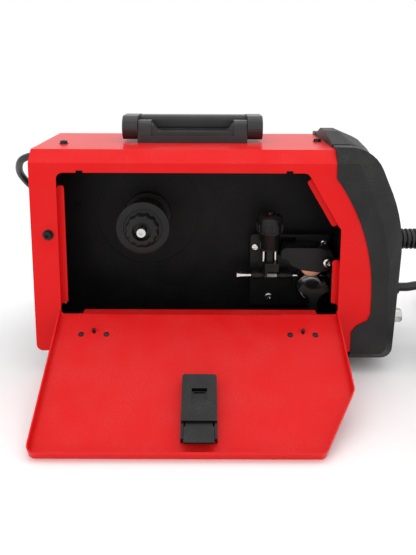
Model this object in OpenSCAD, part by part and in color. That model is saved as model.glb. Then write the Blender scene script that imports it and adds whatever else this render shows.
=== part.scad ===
// Portable MIG welder with a fold-down side door, spool bay, torch, work lead and mains lead.
// Lengths are millimetres. X runs rear to front, Y near side to far side, Z up from the floor.

/* [Case] */
// Width of the case over its two side walls
case_w = 172; // [168:1:176]
// Height of the case above its base
case_h = 245; // [243:1:250]
// Height of the base above the floor
ground = 28.6; // [26:0.2:30]
// Thickness of the sheet metal
sheet = 1.5; // [1.2:0.1:2]
// Width of the sloped edge along the top of each side
chamfer = 14; // [12:1:16]
// Depth of the rear panel inside the cover
rear_inset = 12; // [8:1:16]

/* [Bezel] */
// How far the front moulding stands proud of the side walls
proud = 1.5; // [1.2:0.1:2]
// Depth of the control recess behind the face of the moulding
recess_depth = 18; // [14:1:20]
// Height of the crowned hood above the cheeks
hood_rise = 10.5; // [6:0.5:12]

/* [Door] */
// Height of the door from its hinge to its outer edge
door_h = 172; // [170:1:173]
// Depth of the folded edges round the door
door_flange = 9; // [7:0.5:10]
// Distance of the hinge axis outside the side wall
hinge_out = 3.2; // [3:0.1:4]
// Height of the hinge axis above the floor
hinge_z = 75; // [73:1:78]
// Travel of the latch bolt
latch_travel = 12; // [8:1:13]

/* [Handle] */
// Width of the bail over its two arms
bail_w = 175; // [170:1:180]
// Height of the handle pivot above the case top
pivot_rise = 18; // [17:0.5:20]

/* [Spool bay] */
// Distance of the dividing wall from the near side
divider_y = 95; // [94:1:97]
// Height of the spool axis above the floor
hub_z = 175; // [172:1:178]
// Distance of the spool axis from the rear edge
hub_x = 128; // [124:1:132]
// Outer diameter of the spool hub
hub_d = 50; // [46:1:50]

/* [Wire drive] */
// Height of the wire path above the floor
wire_z = 102.6; // [101:0.2:104]
// Distance of the wire path from the near side
wire_y = 60; // [59:0.5:61]
// Radius of the drive roll
drive_r = 15; // [14.5:0.1:15]
// Radius of the idler roll
idler_r = 14.6; // [14:0.1:14.6]

/* [Leads] */
// Diameter of the torch lead
torch_d = 14; // [14:1:14]
// Diameter of the work lead
work_d = 12; // [12:1:12]
// Diameter of the mains lead
mains_d = 10; // [10:1:10]
// Clear space between neighbouring turns of a coil
coil_gap = 0.8; // [0.6:0.1:1]

/* [Fits] */
// Clearance between a turning part and its bore
running = 0.05; // [0.03:0.01:0.1]
// Clearance between parts that are joined by screws
slack = 0.2; // [0.1:0.1:0.4]

/* [Hidden] */
$fn = 48;

// Derived heights and planes
top_z = ground + case_h;
bevel = sqrt(2) - 1;
small = 0.01;
open_angle = 90 + asin(hinge_z / norm([door_h, hinge_out])) + atan(hinge_out / door_h);
connector_end = 448.2;
door_tip = hinge_out + sheet + door_flange;
edge_y = -hinge_out - door_h * sin(open_angle) + door_tip * cos(open_angle);
org = [connector_end / 2, (case_w + proud + edge_y) / 2, 0];

// ---------- shapes ----------
function unit(v) = v / norm(v);
function arc(c, r, a0, a1, n = 8) =
    [for (k = [0 : n]) c + r * [cos(a0 + (a1 - a0) * k / n), sin(a0 + (a1 - a0) * k / n)]];
// Points of a corner b, between a and c, rounded to the radius r
function corner(a, b, c, r, n) = r <= 0 ? [b] :
    let (u = unit(a - b), v = unit(c - b), half = acos(u * v) / 2,
        centre = b + unit(u + v) * r / sin(half),
        p0 = b + u * r / tan(half), p1 = b + v * r / tan(half),
        a0 = atan2(p0.y - centre.y, p0.x - centre.x),
        a1 = atan2(p1.y - centre.y, p1.x - centre.x),
        turn = ((a1 - a0 + 540) % 360) - 180)
    arc(centre, r, a0, a0 + turn, n);
function rounded(pts, r, n = 5) = [for (i = [0 : len(pts) - 1])
    each corner(pts[(i + len(pts) - 1) % len(pts)], pts[i], pts[(i + 1) % len(pts)],
        is_list(r) ? r[i] : r, n)];
// A counter-clockwise outline moved inwards by k
function inset(pts, k) = [for (i = [0 : len(pts) - 1])
    let (a = pts[(i + len(pts) - 1) % len(pts)], b = pts[i], c = pts[(i + 1) % len(pts)],
        u = unit(b - a), v = unit(c - b), n1 = [-u.y, u.x], n2 = [-v.y, v.x])
    b + (n1 + n2) * k / (1 + n1 * n2)];

// Draws its children, an outline in X and Z, from y0 to y1
module side(y0, y1) translate([0, y1, 0]) rotate([90, 0, 0]) linear_extrude(y1 - y0) children();
// Draws its children, an outline in Y and Z, from x0 to x1
module along(x0, x1) translate([x0, 0, 0]) rotate([90, 0, 90]) linear_extrude(x1 - x0) children();
module rod_x(r, x0, x1) translate([x0, 0, 0]) rotate([0, 90, 0]) cylinder(r = r, h = x1 - x0);
module rod_y(r, y0, y1) translate([0, y0, 0]) rotate([-90, 0, 0]) cylinder(r = r, h = y1 - y0);
module rod_z(r, z0, z1) translate([0, 0, z0]) cylinder(r = r, h = z1 - z0);
module block(a, b) translate(a) cube(b - a);
module ring_y(r, bore, y0, y1) difference() {
    rod_y(r, y0, y1);
    rod_y(bore, y0 - 1, y1 + 1);
}
module ring_x(r, bore, x0, x1) difference() {
    rod_x(r, x0, x1);
    rod_x(bore, x0 - 1, x1 + 1);
}
// A round head with a hexagon socket, its seat at z = 0
module socket_head(r, h) difference() {
    cylinder(r = r, h = h);
    translate([0, 0, h / 2]) cylinder(r = r / 2, h = h, $fn = 6);
}
// A round head with a cross slot, its seat at z = 0
module cross_head(r, h) difference() {
    cylinder(r = r, h = h);
    for (turn = [0, 90]) rotate(turn) translate([-r * 0.6, -r * 0.1, h * 0.5]) cube([r * 1.2, r * 0.2, h]);
}

// ---------- case ----------
function case_section(k) = [[k, ground], [case_w - k, ground],
    [case_w - k, top_z - chamfer - k * bevel], [case_w - chamfer - k * bevel, top_z - k],
    [chamfer + k * bevel, top_z - k], [k, top_z - chamfer - k * bevel]];
// Front edge of the cover in X and Z, from the base up, moved forward by d
function seam(d) = concat([[379.5 + d, ground], [379.5 + d, 54], [385 + d, 62], [398 + d, 69], [401.5 + d, 77]],
    arc([161.6 + d, 100], 240, 0, 36.5, 10), [[354.5 + d, top_z]]);
seam_lap = 6;
opening = [[31.4, 76], [362.5, 76], [362.5, 181], [322, 248.4], [31.4, 248.4]];
opening_r = [4, 4, 7, 8, 8];
lip_depth = 12;
lip_w = 6;
lip_r = 3;
top_screws = [[28.5, 58], [346, 83]];
side_screw = [20, 174.2];

module louvres() for (row = [0 : 7], bank = [0, 1])
    translate([60 + bank * 170, case_w - 4, 90 + row * 14]) cube([70, 8, 4]);

// A folded lip along the edge of the door opening from a to b
module lip(a, b) {
    run = b - a;
    translate([a.x, 0, a.y]) rotate([0, -atan2(run.y, run.x), 0]) {
        translate([0, 0, -sheet]) cube([norm(run), lip_depth + sheet, sheet]);
        side(lip_depth, lip_depth + sheet) polygon(rounded([[0, -small], [norm(run), -small],
            [norm(run), lip_w], [0, lip_w]], [0, 0, lip_r, lip_r]));
    }
}

module outer_cover() color("firebrick") {
    difference() {
        intersection() {
            along(0, 412) difference() {
                polygon(case_section(0));
                polygon(case_section(sheet));
            }
            side(-1, case_w + 1)
                polygon(concat([[0, top_z]], arc([8, ground + 8], 8, 180, 270, 5), seam(seam_lap)));
        }
        side(-1, sheet + 0.5) polygon(rounded(opening, opening_r));
        for (x = [58.5, 300.5]) block([x - 4, -1, 248], [x + 4, sheet + 1, 251]);
        louvres();
        for (p = top_screws) translate([p.x, p.y, top_z - 3]) cylinder(r = 2.1, h = 5);
        translate([side_screw.x, 0, side_screw.y]) rod_y(2.1, -1, 3);
        translate([side_screw.x, 0, side_screw.y]) rod_y(2.1, case_w - 3, case_w + 1);
    }
    lip([31.4, 230.6], [31.4, 85]);
    lip([362.5, 85], [362.5, 140]);
    lip([360.2, 184], [327.6, 239]);
    block([57, sheet - small, 76 - sheet], [338, lip_depth + sheet, 76]);
}

module base_pan() color("dimgray") {
    inner = sheet + slack;
    difference() {
        union() {
            block([rear_inset + sheet, inner, ground], [379.2, case_w - inner, ground + sheet]);
            for (y = [inner, case_w - inner - sheet])
                block([rear_inset + 6, y, ground], [372, y + sheet, ground + 14]);
        }
        for (x = foot_x, y = foot_y) translate([x, y, ground - 1]) cylinder(r = foot_hole_r, h = 5);
    }
}

// Wall between the spool bay and the front moulding
bay_end = 372;

divider_screws = [[36, 183.6], [351, 166.6]];
module divider_panel() color("black") {
    difference() {
        block([rear_inset + sheet, divider_y, ground + sheet], [bay_end, divider_y + sheet, 245]);
        translate([hub_x, 0, hub_z]) rod_y(5.1, divider_y - 1, divider_y + 3);
        translate([drive_x, 0, drive_z]) rod_y(9.3, divider_y - 1, divider_y + 3);
        for (p = divider_screws) at(p) rod_y(2.1, divider_y - 1, divider_y + 3);
        // room for the nut of the mains gland
        block([rear_inset, divider_y - 1, 238], [22, divider_y + 3, 246]);
    }
    // pressed ring round the spool axis, and the stiffening fold near the rear
    translate([hub_x, 0, hub_z]) difference() {
        rod_y(71, divider_y - 1.2, divider_y + small);
        rod_y(68, divider_y - 3, divider_y + 1);
    }
    block([61, divider_y - 1.2, 60], [63, divider_y + small, 104]);
    difference() {
        block([304, divider_y - 12, 136.5], [bay_end, divider_y + small, 138]);
        at(feeder_screw_at[2]) rod_y(boss_r + slack, divider_y - 13, divider_y);
    }
    for (p = divider_screws) translate([p.x, divider_y, p.y]) rotate([90, 0, 0]) cross_head(4.2, 2.2);
}

module bay_front_wall() color("black") difference() {
    side(2 * (sheet + slack), divider_y) polygon([[bay_end, ground + sheet], [bay_end + sheet, ground + sheet],
        [bay_end + sheet, 181.4], [bay_end - 35, 240], [bay_end - 35 - sheet, 239], [bay_end, 181]]);
    at_wire() rod_x(6.3, bay_end - 2, bay_end + 4);
}

// ---------- front moulding ----------
// Side outline of the moulding where it is full, and on its flat side face
full_face = concat([[340, 15.5]], arc([420, 29], 13.5, -90, 0, 5), [[434.5, 122]],
    arc([248, 150], 190, 0, 29.3, 8), arc([370, 232.6], 45, 14, 82, 7), [[340, 277.6]]);
flat_face = concat([[340, 26]], arc([412.5, 35], 9, -90, 0, 4), [[421.5, 60], [420.6, 141], [415.2, 168],
    [410.9, 185], [404.4, 205], [400.3, 217], [387.4, 245], [380, 260.3], [340, 260.3]]);
crown = [[340, 250], [415, 250], [408, 266], [396, 277.5], [371, 277.6 + hood_rise], [340, 277.6 + hood_rise]];
recess_y = [20, 152];
recess_z = [45, 240];
groove_w = 7;

// Outline of the control panel's face, moved back by d
function panel_face(d) = concat([[440 - recess_depth - d, 38]],
    arc([248, 150], 192 - recess_depth - d, 0, 31, 8));

module bezel_body(k) hull() {
    side(k - proud, case_w + proud - k) polygon(inset(flat_face, k));
    side(10 + k, case_w - 10 - k) polygon(inset(full_face, k));
}

// Everything behind the front edge of the cover moved forward by d
module behind_seam(d) side(-5, case_w + 5) polygon(concat([[300, ground - 20], [379.5 + d, ground - 20]],
    seam(d), [[354.5 + d, 300], [300, 300]]));

module front_bezel() color("black") difference() {
    union() {
        difference() {
            union() {
                bezel_body(0);
                hull() {
                    side(34, 138) intersection() {
                        polygon(full_face);
                        translate([330, 246]) square([110, 60]);
                    }
                    side(78, 110) polygon(crown);
                }
            }
            intersection() {
                bezel_body(4);
                block([300, -0.1, ground + 1.6], [440, case_w + 0.1, top_z + 0.1]);
            }
            block([300, 20, 240], [380, case_w - 20, top_z + 0.1]);
        }
        // walls of the control recess
        intersection() {
            bezel_body(0);
            side(recess_y[0] - 3, recess_y[1] + 3) polygon(concat(panel_face(0), [[450, 243], [450, 38]]));
        }
    }
    // face of the recess
    intersection() {
        side(recess_y[0], recess_y[1]) polygon(concat(panel_face(1), [[455, 262], [455, 38]]));
        block([370, recess_y[0], recess_z[0]], [460, recess_y[1], recess_z[1]]);
    }
    behind_seam(0);
    // room for the front edge of the cover, which laps inside the moulding
    intersection() {
        along(300, 412) polygon(case_section(-0.1));
        behind_seam(seam_lap + 0.3);
    }
    for (y = [34 - groove_w, case_w - 34]) side(y, y + groove_w) difference() {
        polygon([for (p = full_face) p + [4, 4]]);
        polygon([for (p = full_face) p - [3, 4]]);
        translate([300, 0]) square([200, 236]);
    }
}

module front_panel() color("darkslategray") difference() {
    side(recess_y[0] - 6, recess_y[1] + 6)
        polygon(concat(panel_face(1), [for (p = [len(panel_face(4)) - 1 : -1 : 0]) panel_face(4)[p]]));
    for (socket = [[torch_z, 13], [work_z, 12]]) translate([0, lead_y, socket[0]]) rod_x(socket[1], 400, 430);
    translate([0, connector_y, connector_z]) rod_x(6.1, 400, 430);
    translate([0, connector_y, toggle_z]) rod_x(3.1, 400, 430);
    for (y = knob_y) on_panel(knob_angle, y) translate([0, 0, -20]) cylinder(r = 3.2, h = 30);
}

// Places its children on the control panel's face with Z pointing out of it
module on_panel(angle, y) translate([248, y, 150]) rotate([0, 90 - angle, 0])
    translate([0, 0, 191 - recess_depth]) children();
lead_y = 86;
torch_z = 144.2;
work_z = 76.9;
connector_y = 30;
connector_z = 62.6;
toggle_z = 80;
knob_angle = 12.5;
knob_y = [54, 118];
lens_angle = 24;

module display_lens() color("dimgray") on_panel(lens_angle, lead_y) {
    translate([-12, -34, 0]) cube([24, 68, 1]);
    translate([-9.5, -31, 0]) cube([19, 62, 2.4]);
}

module panel_knob(y) on_panel(knob_angle, y) {
    difference() {
        union() {
            translate([0, 0, 0.4]) cylinder(r = 14, h = 3);
            translate([0, 0, 3]) cylinder(r = 11.5, h = 11);
        }
        translate([-12, -0.8, 12.8]) cube([9, 1.6, 2]);
        for (k = [0 : 11]) rotate(k * 30 + 15) translate([12.1, 0, 4]) cylinder(r = 1.2, h = 11, $fn = 16);
    }
    translate([0, 0, -14]) cylinder(r = 3, h = 15);
}
module voltage_knob() color("black") panel_knob(knob_y[0]);
module wire_speed_knob() color("black") panel_knob(knob_y[1]);

panel_x = 439 - recess_depth;
module front_sockets() color("dimgray") {
    translate([0, lead_y, torch_z]) difference() {
        union() {
            rod_x(12.9, bay_end + 3, panel_x);
            rod_x(23, panel_x, panel_x + 5);
        }
        rod_x(3, 360, 440);
    }
    translate([0, lead_y, work_z]) difference() {
        union() {
            rod_x(11.9, 396, panel_x);
            rod_x(19, panel_x, panel_x + 5);
        }
        rod_x(7, 404, 440);
    }
    // threaded bush that carries the toggle
    translate([0, connector_y, toggle_z]) ring_x(5.6, 3.9, panel_x, toggle_x + 0.5);
}

module gun_connector() color("silver") translate([0, connector_y, connector_z]) {
    difference() {
        union() {
            rod_x(6, 404, panel_x + 1);
            rod_x(9.8, panel_x, panel_x + 3);
            rod_x(8.75, panel_x + 2, connector_end);
        }
        rod_x(6.5, connector_end - 9, connector_end + 1);
    }
    for (k = [0 : 4]) rotate([k * 72, 0, 0]) translate([0, 4, 0]) rod_x(0.9, connector_end - 10, connector_end - 3);
}

toggle_x = panel_x + 7;
toggle_tilt = 12;
module mode_toggle() color("black") translate([toggle_x, connector_y, toggle_z]) {
    rotate([0, toggle_tilt, 0])
        turned_x([[0, -3], [2.2, -2.2], [3, -0.8], [3, 0.8], [2.2, 2.4], [1.9, 13], [1.4, 14], [0, 14]]);
    rod_y(1, -3.7, 3.7);
}

// ---------- rear, handle and feet ----------
foot_x = [42, 342];
foot_y = [27, 145];
foot_hole_r = 4;
fan_y = 133;
fan_z = 128;
fan_half = 35;
gland_y = 100;
gland_z = 250.6;
switch_y = 48;
switch_z = 232;
gas_y = 48;
gas_z = 70;

module rear_panel() color("dimgray") {
    inner = sheet + slack;
    difference() {
        union() {
            along(rear_inset, rear_inset + sheet) intersection() {
                polygon(case_section(inner));
                translate([0, ground + sheet]) square([case_w, case_h]);
            }
            for (y = [inner, case_w - inner - sheet])
                block([rear_inset, y, ground + 20], [rear_inset + 11, y + sheet, top_z - 20]);
        }
        for (row = [-5 : 5]) let (half = sqrt(31 * 31 - 36 * row * row))
            block([0, fan_y - half, fan_z + row * 6 - 1.6], [20, fan_y + half, fan_z + row * 6 + 1.6]);
        translate([0, gland_y, gland_z]) rod_x(7.1, 0, 20);
        translate([0, gas_y, gas_z]) rod_x(5.1, 0, 20);
        block([0, switch_y - 12, switch_z - 9], [20, switch_y + 12, switch_z + 9]);
        for (y = [-1, 1], z = [-1, 1]) translate([0, fan_y + y * 30, fan_z + z * 30]) rod_x(2, 0, 20);
        translate([side_screw.x, 0, side_screw.y]) rod_y(2.1, 0, case_w);
    }
    // frame that holds the rocker switch
    difference() {
        block([rear_inset - 2, switch_y - 14, switch_z - 11], [rear_inset + 12, switch_y + 14, switch_z + 11]);
        block([0, switch_y - 10.5, switch_z - 7.5], [rear_inset + 10, switch_y + 10.5, switch_z + 7.5]);
    }
}

module power_switch() color("black") translate([rear_inset + 4, switch_y, switch_z]) rotate(8) intersection() {
    difference() {
        rod_z(10, -7.2, 7.2);
        translate([-10, 0, 0]) rod_z(4, -8, 8);
    }
    block([-5, -10, -8], [4, 10, 8]);
}

module fan_frame() color("black") difference() {
    block([rear_inset + sheet, fan_y - fan_half, fan_z - fan_half],
        [rear_inset + sheet + 25, fan_y + fan_half, fan_z + fan_half]);
    translate([0, fan_y, fan_z]) {
        rod_x(33, rear_inset, rear_inset + sheet + 20);
        difference() {
            rod_x(33, rear_inset, 60);
            rod_x(14, rear_inset, 60);
            for (a = [45, 135]) rotate([a, 0, 0]) block([0, -40, -2], [60, 40, 2]);
        }
        for (y = [-1, 1], z = [-1, 1]) translate([0, y * 30, z * 30]) rod_x(2, 0, 60);
    }
}

module fan_rotor() color("black") translate([0, fan_y, fan_z]) {
    rod_x(13.5, 17, 33);
    for (k = [0 : 6]) rotate([k * 360 / 7, 0, 0]) translate([25, 0, 12])
        rotate([0, 0, 35]) translate([-9, -0.8, 0]) cube([18, 1.6, 19.5]);
}

handle_x = 187.3;
pivot_y = 79;
pivot_z = top_z + pivot_rise;
arm_in = bail_w / 2 - 18.8;
pin_r = 4;
pin_head = 4.4;
pin_head_r = 7.5;

module handle_base() color("black") translate([handle_x, 0, 0]) difference() {
    union() {
        side(64, 104.6) polygon([[-arm_in + 0.4, top_z], [arm_in - 0.4, top_z], [arm_in - 0.4, top_z + 5],
            [arm_in - 5, top_z + 9.2], [5 - arm_in, top_z + 9.2], [0.4 - arm_in, top_z + 5]]);
        block([-50, 69, top_z + 9], [50, 102, top_z + 14]);
        for (end = [-1, 1]) mirror([end > 0 ? 1 : 0, 0, 0]) {
            along(0.4 - arm_in, 17 - arm_in) polygon(rounded([[66, top_z + 5], [93, top_z + 5],
                [90, top_z + 27.5], [68, top_z + 27.5]], [0, 0, 9, 9]));
            side(69, 89) polygon([[16 - arm_in, top_z + 9], [27 - arm_in, top_z + 9], [25 - arm_in, top_z + 14],
                [16 - arm_in, top_z + 25]]);
        }
    }
    translate([0, pivot_y, pivot_z]) for (end = [0, 180]) rotate(end) rod_x(pin_r + running, arm_in - 22, arm_in + 2);
    block([-42, 75, top_z + 12.5], [42, 96, top_z + 16]);
}

module handle_pins() color("silver") translate([handle_x, pivot_y, pivot_z]) for (end = [0, 180]) rotate(end) {
    rod_x(pin_r, arm_in - 20, bail_w / 2 - pin_head);
    difference() {
        rod_x(pin_head_r, bail_w / 2 - pin_head, bail_w / 2 - 0.6);
        translate([bail_w / 2 - 2.6, 0, 0]) rotate([0, 90, 0]) cylinder(r = 3, h = 5, $fn = 6);
    }
}

module handle_bail() color("black") translate([handle_x, 0, 0]) difference() {
    union() {
        for (end = [-1, 1]) mirror([end > 0 ? 1 : 0, 0, 0]) along(-bail_w / 2, -arm_in)
            polygon(concat(arc([pivot_y, pivot_z], 15, 90, 270, 14),
                rounded([[112, pivot_z - 10], [131, pivot_z - 9], [131, pivot_z + 12.5], [112, pivot_z + 14]],
                    [0, 8, 8, 0])));
        along(-arm_in - 1, arm_in + 1) polygon(rounded([[106, pivot_z - 8.2], [131, pivot_z - 8.2],
            [131, pivot_z + 12.5], [106, pivot_z + 12.5]], 6.5));
    }
    translate([0, pivot_y, pivot_z]) rod_x(pin_r + running, -bail_w, bail_w);
    translate([0, pivot_y, pivot_z]) for (end = [0, 180]) rotate(end) rod_x(pin_head_r + 1, bail_w / 2 - pin_head - slack, bail_w);
}

module rubber_feet() color("black") for (x = foot_x, y = foot_y) translate([x, y, 0]) {
    difference() {
        rotate_extrude() polygon([[0, 0], [12.5, 0], [14, 2], [15, 24], [15, ground], [0, ground]]);
        translate([0, 0, -1]) cylinder(r = 6, h = 6);
    }
    cylinder(r = foot_hole_r - slack / 2, h = ground + sheet + 3);
    translate([0, 0, ground + sheet]) cylinder(r = 6, h = 3);
}

module cover_screws() color("dimgray") {
    for (p = top_screws) translate([p.x, p.y, top_z]) {
        socket_head(4.5, 3);
        translate([0, 0, -9]) cylinder(r = 2, h = 9.1);
    }
    for (y = [0, case_w]) translate([side_screw.x, y, side_screw.y]) rotate([y > 0 ? -90 : 90, 0, 0]) {
        difference() {
            cylinder(r = 6.45, h = 1.2);
            translate([0, 0, 1]) cylinder(r = 5, h = 1);
        }
        translate([0, 0, 0.9]) socket_head(4.6, 4);
        translate([0, 0, -6]) cylinder(r = 2, h = 7);
    }
    for (p = feeder_screw_at) translate([p.x, plate_y, p.y]) rotate([90, 0, 0]) cross_head(5, 2.4);
}

// ---------- door ----------
module door_pose() translate([0, -hinge_out, hinge_z]) rotate([open_angle, 0, 0]) children();
door_edge = [[32, 1.4], [360, 1.4], [360, 104], [319.4, 172], [32, 172]];
door_fold = [[32 + sheet, -6], [360 - sheet, -6], [360 - sheet, 103.6], [318.5, 170.5], [32 + sheet, 170.5]];
hinge_at = [76, 316];
hinge_half = 22.5;
door_in = hinge_out + sheet;
latch_x = 198;
dimples = [[76, 27], [316.4, 27]];

module door_panel() color("firebrick") door_pose() difference() {
    side(hinge_out, door_tip) polygon(rounded(door_edge, [3.5, 3.5, 9, 8, 9]));
    side(door_in, door_tip + 1) polygon(rounded(door_fold, [0, 0, 7.5, 6.5, 7.5]));
    block([latch_x - 9, 0, 112], [latch_x + 9, door_in + 1, 125 + latch_travel]);
}

module hinge_leaf(s0, s1, own) difference() {
    union() {
        for (x = own) rod_x(3, x[0], x[1]);
        for (x = own) block([x[0], 2, min(0, s0 + 3.4)], [x[1], hinge_out, max(0, s0 + 3.4)]);
        block([-hinge_half, 2, s0], [hinge_half, hinge_out, s1]);
    }
    rod_x(1.65, -40, 40);
}
fixed_knuckles = [[-hinge_half, -8], [8, hinge_half]];
moving_knuckles = [[-7.7, 7.7]];

module door_hinges_fixed() color("firebrick") for (x = hinge_at) translate([x, -hinge_out, hinge_z]) difference() {
    hinge_leaf(-24, -3.4, fixed_knuckles);
    for (k = [-14, 14]) translate([k, 0, -14]) rod_y(2, 0, 5);
}

module door_hinges_moving() color("firebrick") door_pose() for (x = hinge_at) translate([x, 0, 0])
    hinge_leaf(3.4, 38, moving_knuckles);

module door_hinge_pins() color("silver") for (x = hinge_at) translate([x, -hinge_out, hinge_z]) {
    rod_x(1.6, -hinge_half - 0.4, hinge_half + 0.4);
    rod_x(2.4, -hinge_half - 1.4, -hinge_half - 0.2);
}

module door_rivets() color("black") door_pose() {
    for (x = [61.4, 90.5, 301.5, 330.5]) translate([x, 0, 30]) {
        rod_y(3.2, door_in, door_in + 1.6);
        rod_y(2.8, 0.9, 2);
    }
    for (p = dimples) translate([p.x, 0, p.y]) rod_y(2, door_in, door_in + 1.2);
}

// The latch stands on the inner face of the door, with n its height above that face
module latch_block(x0, x1, n0, n1, s0, s1) block([latch_x + x0, door_in + n0, s0], [latch_x + x1, door_in + n1, s1]);

module latch_housing() color("black") door_pose() difference() {
    union() {
        translate([latch_x, 0, 0]) side(door_in, door_in + 11)
            polygon(rounded([[-18.2, 88], [18.2, 88], [18.2, 140], [-18.2, 140]], [3, 3, 0.5, 0.5]));
        latch_block(-18.2, -15.4, 0, 8, 138, 157);
        latch_block(15.4, 18.2, 0, 8, 138, 157);
        latch_block(-7, 7, 0, 4, 85, 90);
    }
    latch_block(-13.9, 13.9, 2, 8, 98, 141);
    latch_block(-13.9, 13.9, -1, 3, 110, 141);
    latch_block(-8, 8, 7, 12, 104.5, 118);
}

module latch_bolt() color("black") door_pose() {
    difference() {
        latch_block(-13.7, 13.7, 2.2, 7.8, 106, 157);
        // recess for the thumb
        latch_block(-6, 6, 6.4, 9, 107, 116);
    }
    latch_block(-15, 15, 7.7, 10.5, 146, 151);
    latch_block(-15, 15, 9.6, 12.6, 147, 163);
    latch_block(-7, 7, -1.4, 2.3, 114, 122);
}

// ---------- spool hub ----------
axle_r = 5;
module on_hub() translate([hub_x, 0, hub_z]) children();

module spool_axle() color("silver") on_hub() {
    rod_y(axle_r, 9, divider_y + 12);
    rod_y(13, 90.4, divider_y);
    difference() {
        rod_y(9, divider_y + sheet, divider_y + 8);
        for (k = [0 : 5]) rotate([0, k * 60, 0]) block([7.8, 90, -9], [12, 120, 9]);
    }
    difference() {
        rod_y(5.3, 5, 9.1);
        rotate([90, 0, 0]) translate([0, 0, -7]) cylinder(r = 2.6, h = 8, $fn = 6);
    }
}

module spool_hub() color("black") on_hub() difference() {
    union() {
        rod_y(hub_d / 2, 29.4, 90);
        rod_y(30, 84, 90);
    }
    rod_y(axle_r + running, 20, 100);
    rod_y(19, 20, 42);
}

module star_nut() color("black") on_hub() difference() {
    union() {
        rod_y(32.75, 24.2, 29);
        rod_y(17, 10, 24.3);
        for (k = [0 : 7]) rotate([0, k * 45 + 22.5, 0]) translate([16, 0, 0]) rod_y(4.75, 10, 24.3);
        rod_y(18.8, 29, 36);
    }
    rod_y(11.5, 0, 19);
    rod_y(axle_r + running, 0, 50);
}

// ---------- wire drive ----------
plate_y = 78;
drive_x = 339.5;
drive_z = wire_z - drive_r;
arm_pivot = [357, 125.6];
wire_gap = 0.8;
idler_at = [drive_x, wire_z + idler_r + wire_gap];
swing_at = [286, 115.4];
feeder_screw_at = [[269, 134.6], [288, 66.6], [359, 140]];
guide_bore = 1.2;
guide_r = 3.4;
post_at = 7.5;
yoke_z = 20.6;
boss_r = 6;
// Bosses that hold the wire guides: first and last X, and radius
guide_boss = [[264, 277.4, 5.6], [298, 310, 5], [361, 365.6, 6]];

module at_wire() translate([0, wire_y, wire_z]) children();
module at(p) translate([p.x, 0, p.y]) children();

module feeder_plate() color("dimgray") {
    difference() {
        union() {
            side(plate_y, plate_y + 2)
                polygon(rounded([[263, 54.6], [365.6, 54.6], [365.6, 151.6], [263, 151.6]], 4));
            for (b = guide_boss) {
                at_wire() rod_x(b[2], b[0], b[1]);
                block([b[0], wire_y, wire_z - b[2] + 1], [b[1], plate_y + 0.5, wire_z + b[2] - 1]);
            }
            // round rim behind the drive roll
            at([drive_x, drive_z]) rod_y(21, 72, plate_y + 0.1);
            for (p = feeder_screw_at) at(p) rod_y(boss_r, plate_y + 1, divider_y);
        }
        at_wire() rod_x(guide_r + running, 262, 400);
        at([drive_x, drive_z]) rod_y(19, 71, 75);
        at([drive_x, drive_z]) rod_y(8, 71, plate_y + 3);
        for (p = feeder_screw_at) at(p) rod_y(2, plate_y - 1, plate_y + 9);
        block([281, plate_y - 1, 124], [322, plate_y + 3, 148]);
    }
    at(swing_at) rod_y(3, 49.4, plate_y + 1);
    at(arm_pivot) rod_y(4, 43, plate_y + 1);
    at(arm_pivot) rod_y(6, 41, 45.5);
}

module guide(r, x0, x1) at_wire() ring_x(r, guide_bore, x0, x1);

module wire_guides() {
    color("silver") {
        at_wire() difference() {
            translate([244, 0, 0]) rotate([0, 90, 0]) rotate_extrude()
                polygon([[5, 0], [6, 0], [5.6, 2], [3.6, 8], [2.9, 13], [2.9, 18.5], [1.2, 18.5], [1.2, 7]]);
            rod_x(guide_bore, 240, 270);
        }
        guide(2.6, 315, 323);
        guide(2.2, 351, 360);
    }
    color("black") {
        guide(guide_r, 262.5, 279.6);
        guide(guide_r, 296, 315);
        guide(guide_r, 360, 377);
    }
    color("gray") guide(2.4, 279.6, 296);
    // liner from the wire drive to the torch socket
    color("gainsboro") {
        start = [377, wire_y, wire_z];
        run = [378, lead_y, torch_z] - start;
        translate(start) rotate([0, acos(run.z / norm(run)), atan2(run.y, run.x)]) {
            translate([0, 0, -1]) cylinder(r = 3, h = norm(run) - 12);
        }
    }
}

module feed_motor() color("dimgray") {
    side(plate_y + 2.1, divider_y - 1) difference() {
        polygon(rounded([[312, 64], [362, 64], [362, 114], [312, 114]], 6));
        translate([drive_x, drive_z]) circle(r = 4.2);
    }
    at([drive_x, drive_z]) {
        ring_y(9, 4.2, divider_y - 1.1, divider_y + sheet + 2);
        rod_y(23, divider_y + sheet + 1.9, 156);
        rod_y(8, 156, 160);
        for (x = [-12, 12]) translate([x, 0, 0]) rod_y(2, 156, 161);
    }
}

module drive_roll() color("silver") at([drive_x, drive_z]) {
    difference() {
        union() {
            rod_y(drive_r, wire_y - 6, wire_y - 1.2);
            rod_y(drive_r, wire_y + 1.2, wire_y + 6);
            rod_y(drive_r - 1, wire_y - 1.3, wire_y + 1.3);
        }
        rod_y(3.9, 50, 70);
    }
    rod_y(4, 33.2, divider_y + 1);
    rod_y(7, wire_y + 6, plate_y - 0.5);
}

module drive_knob() color("black") at([drive_x, drive_z]) difference() {
    union() {
        side(31, 46.9) difference() {
            circle(r = 20.5);
            for (a = [90, 210, 330]) rotate(a) translate([24.5, 0]) circle(r = 17);
        }
        rod_y(13, 46.8, 53.4);
    }
    rod_y(4.02, 33, 60);
}

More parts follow.
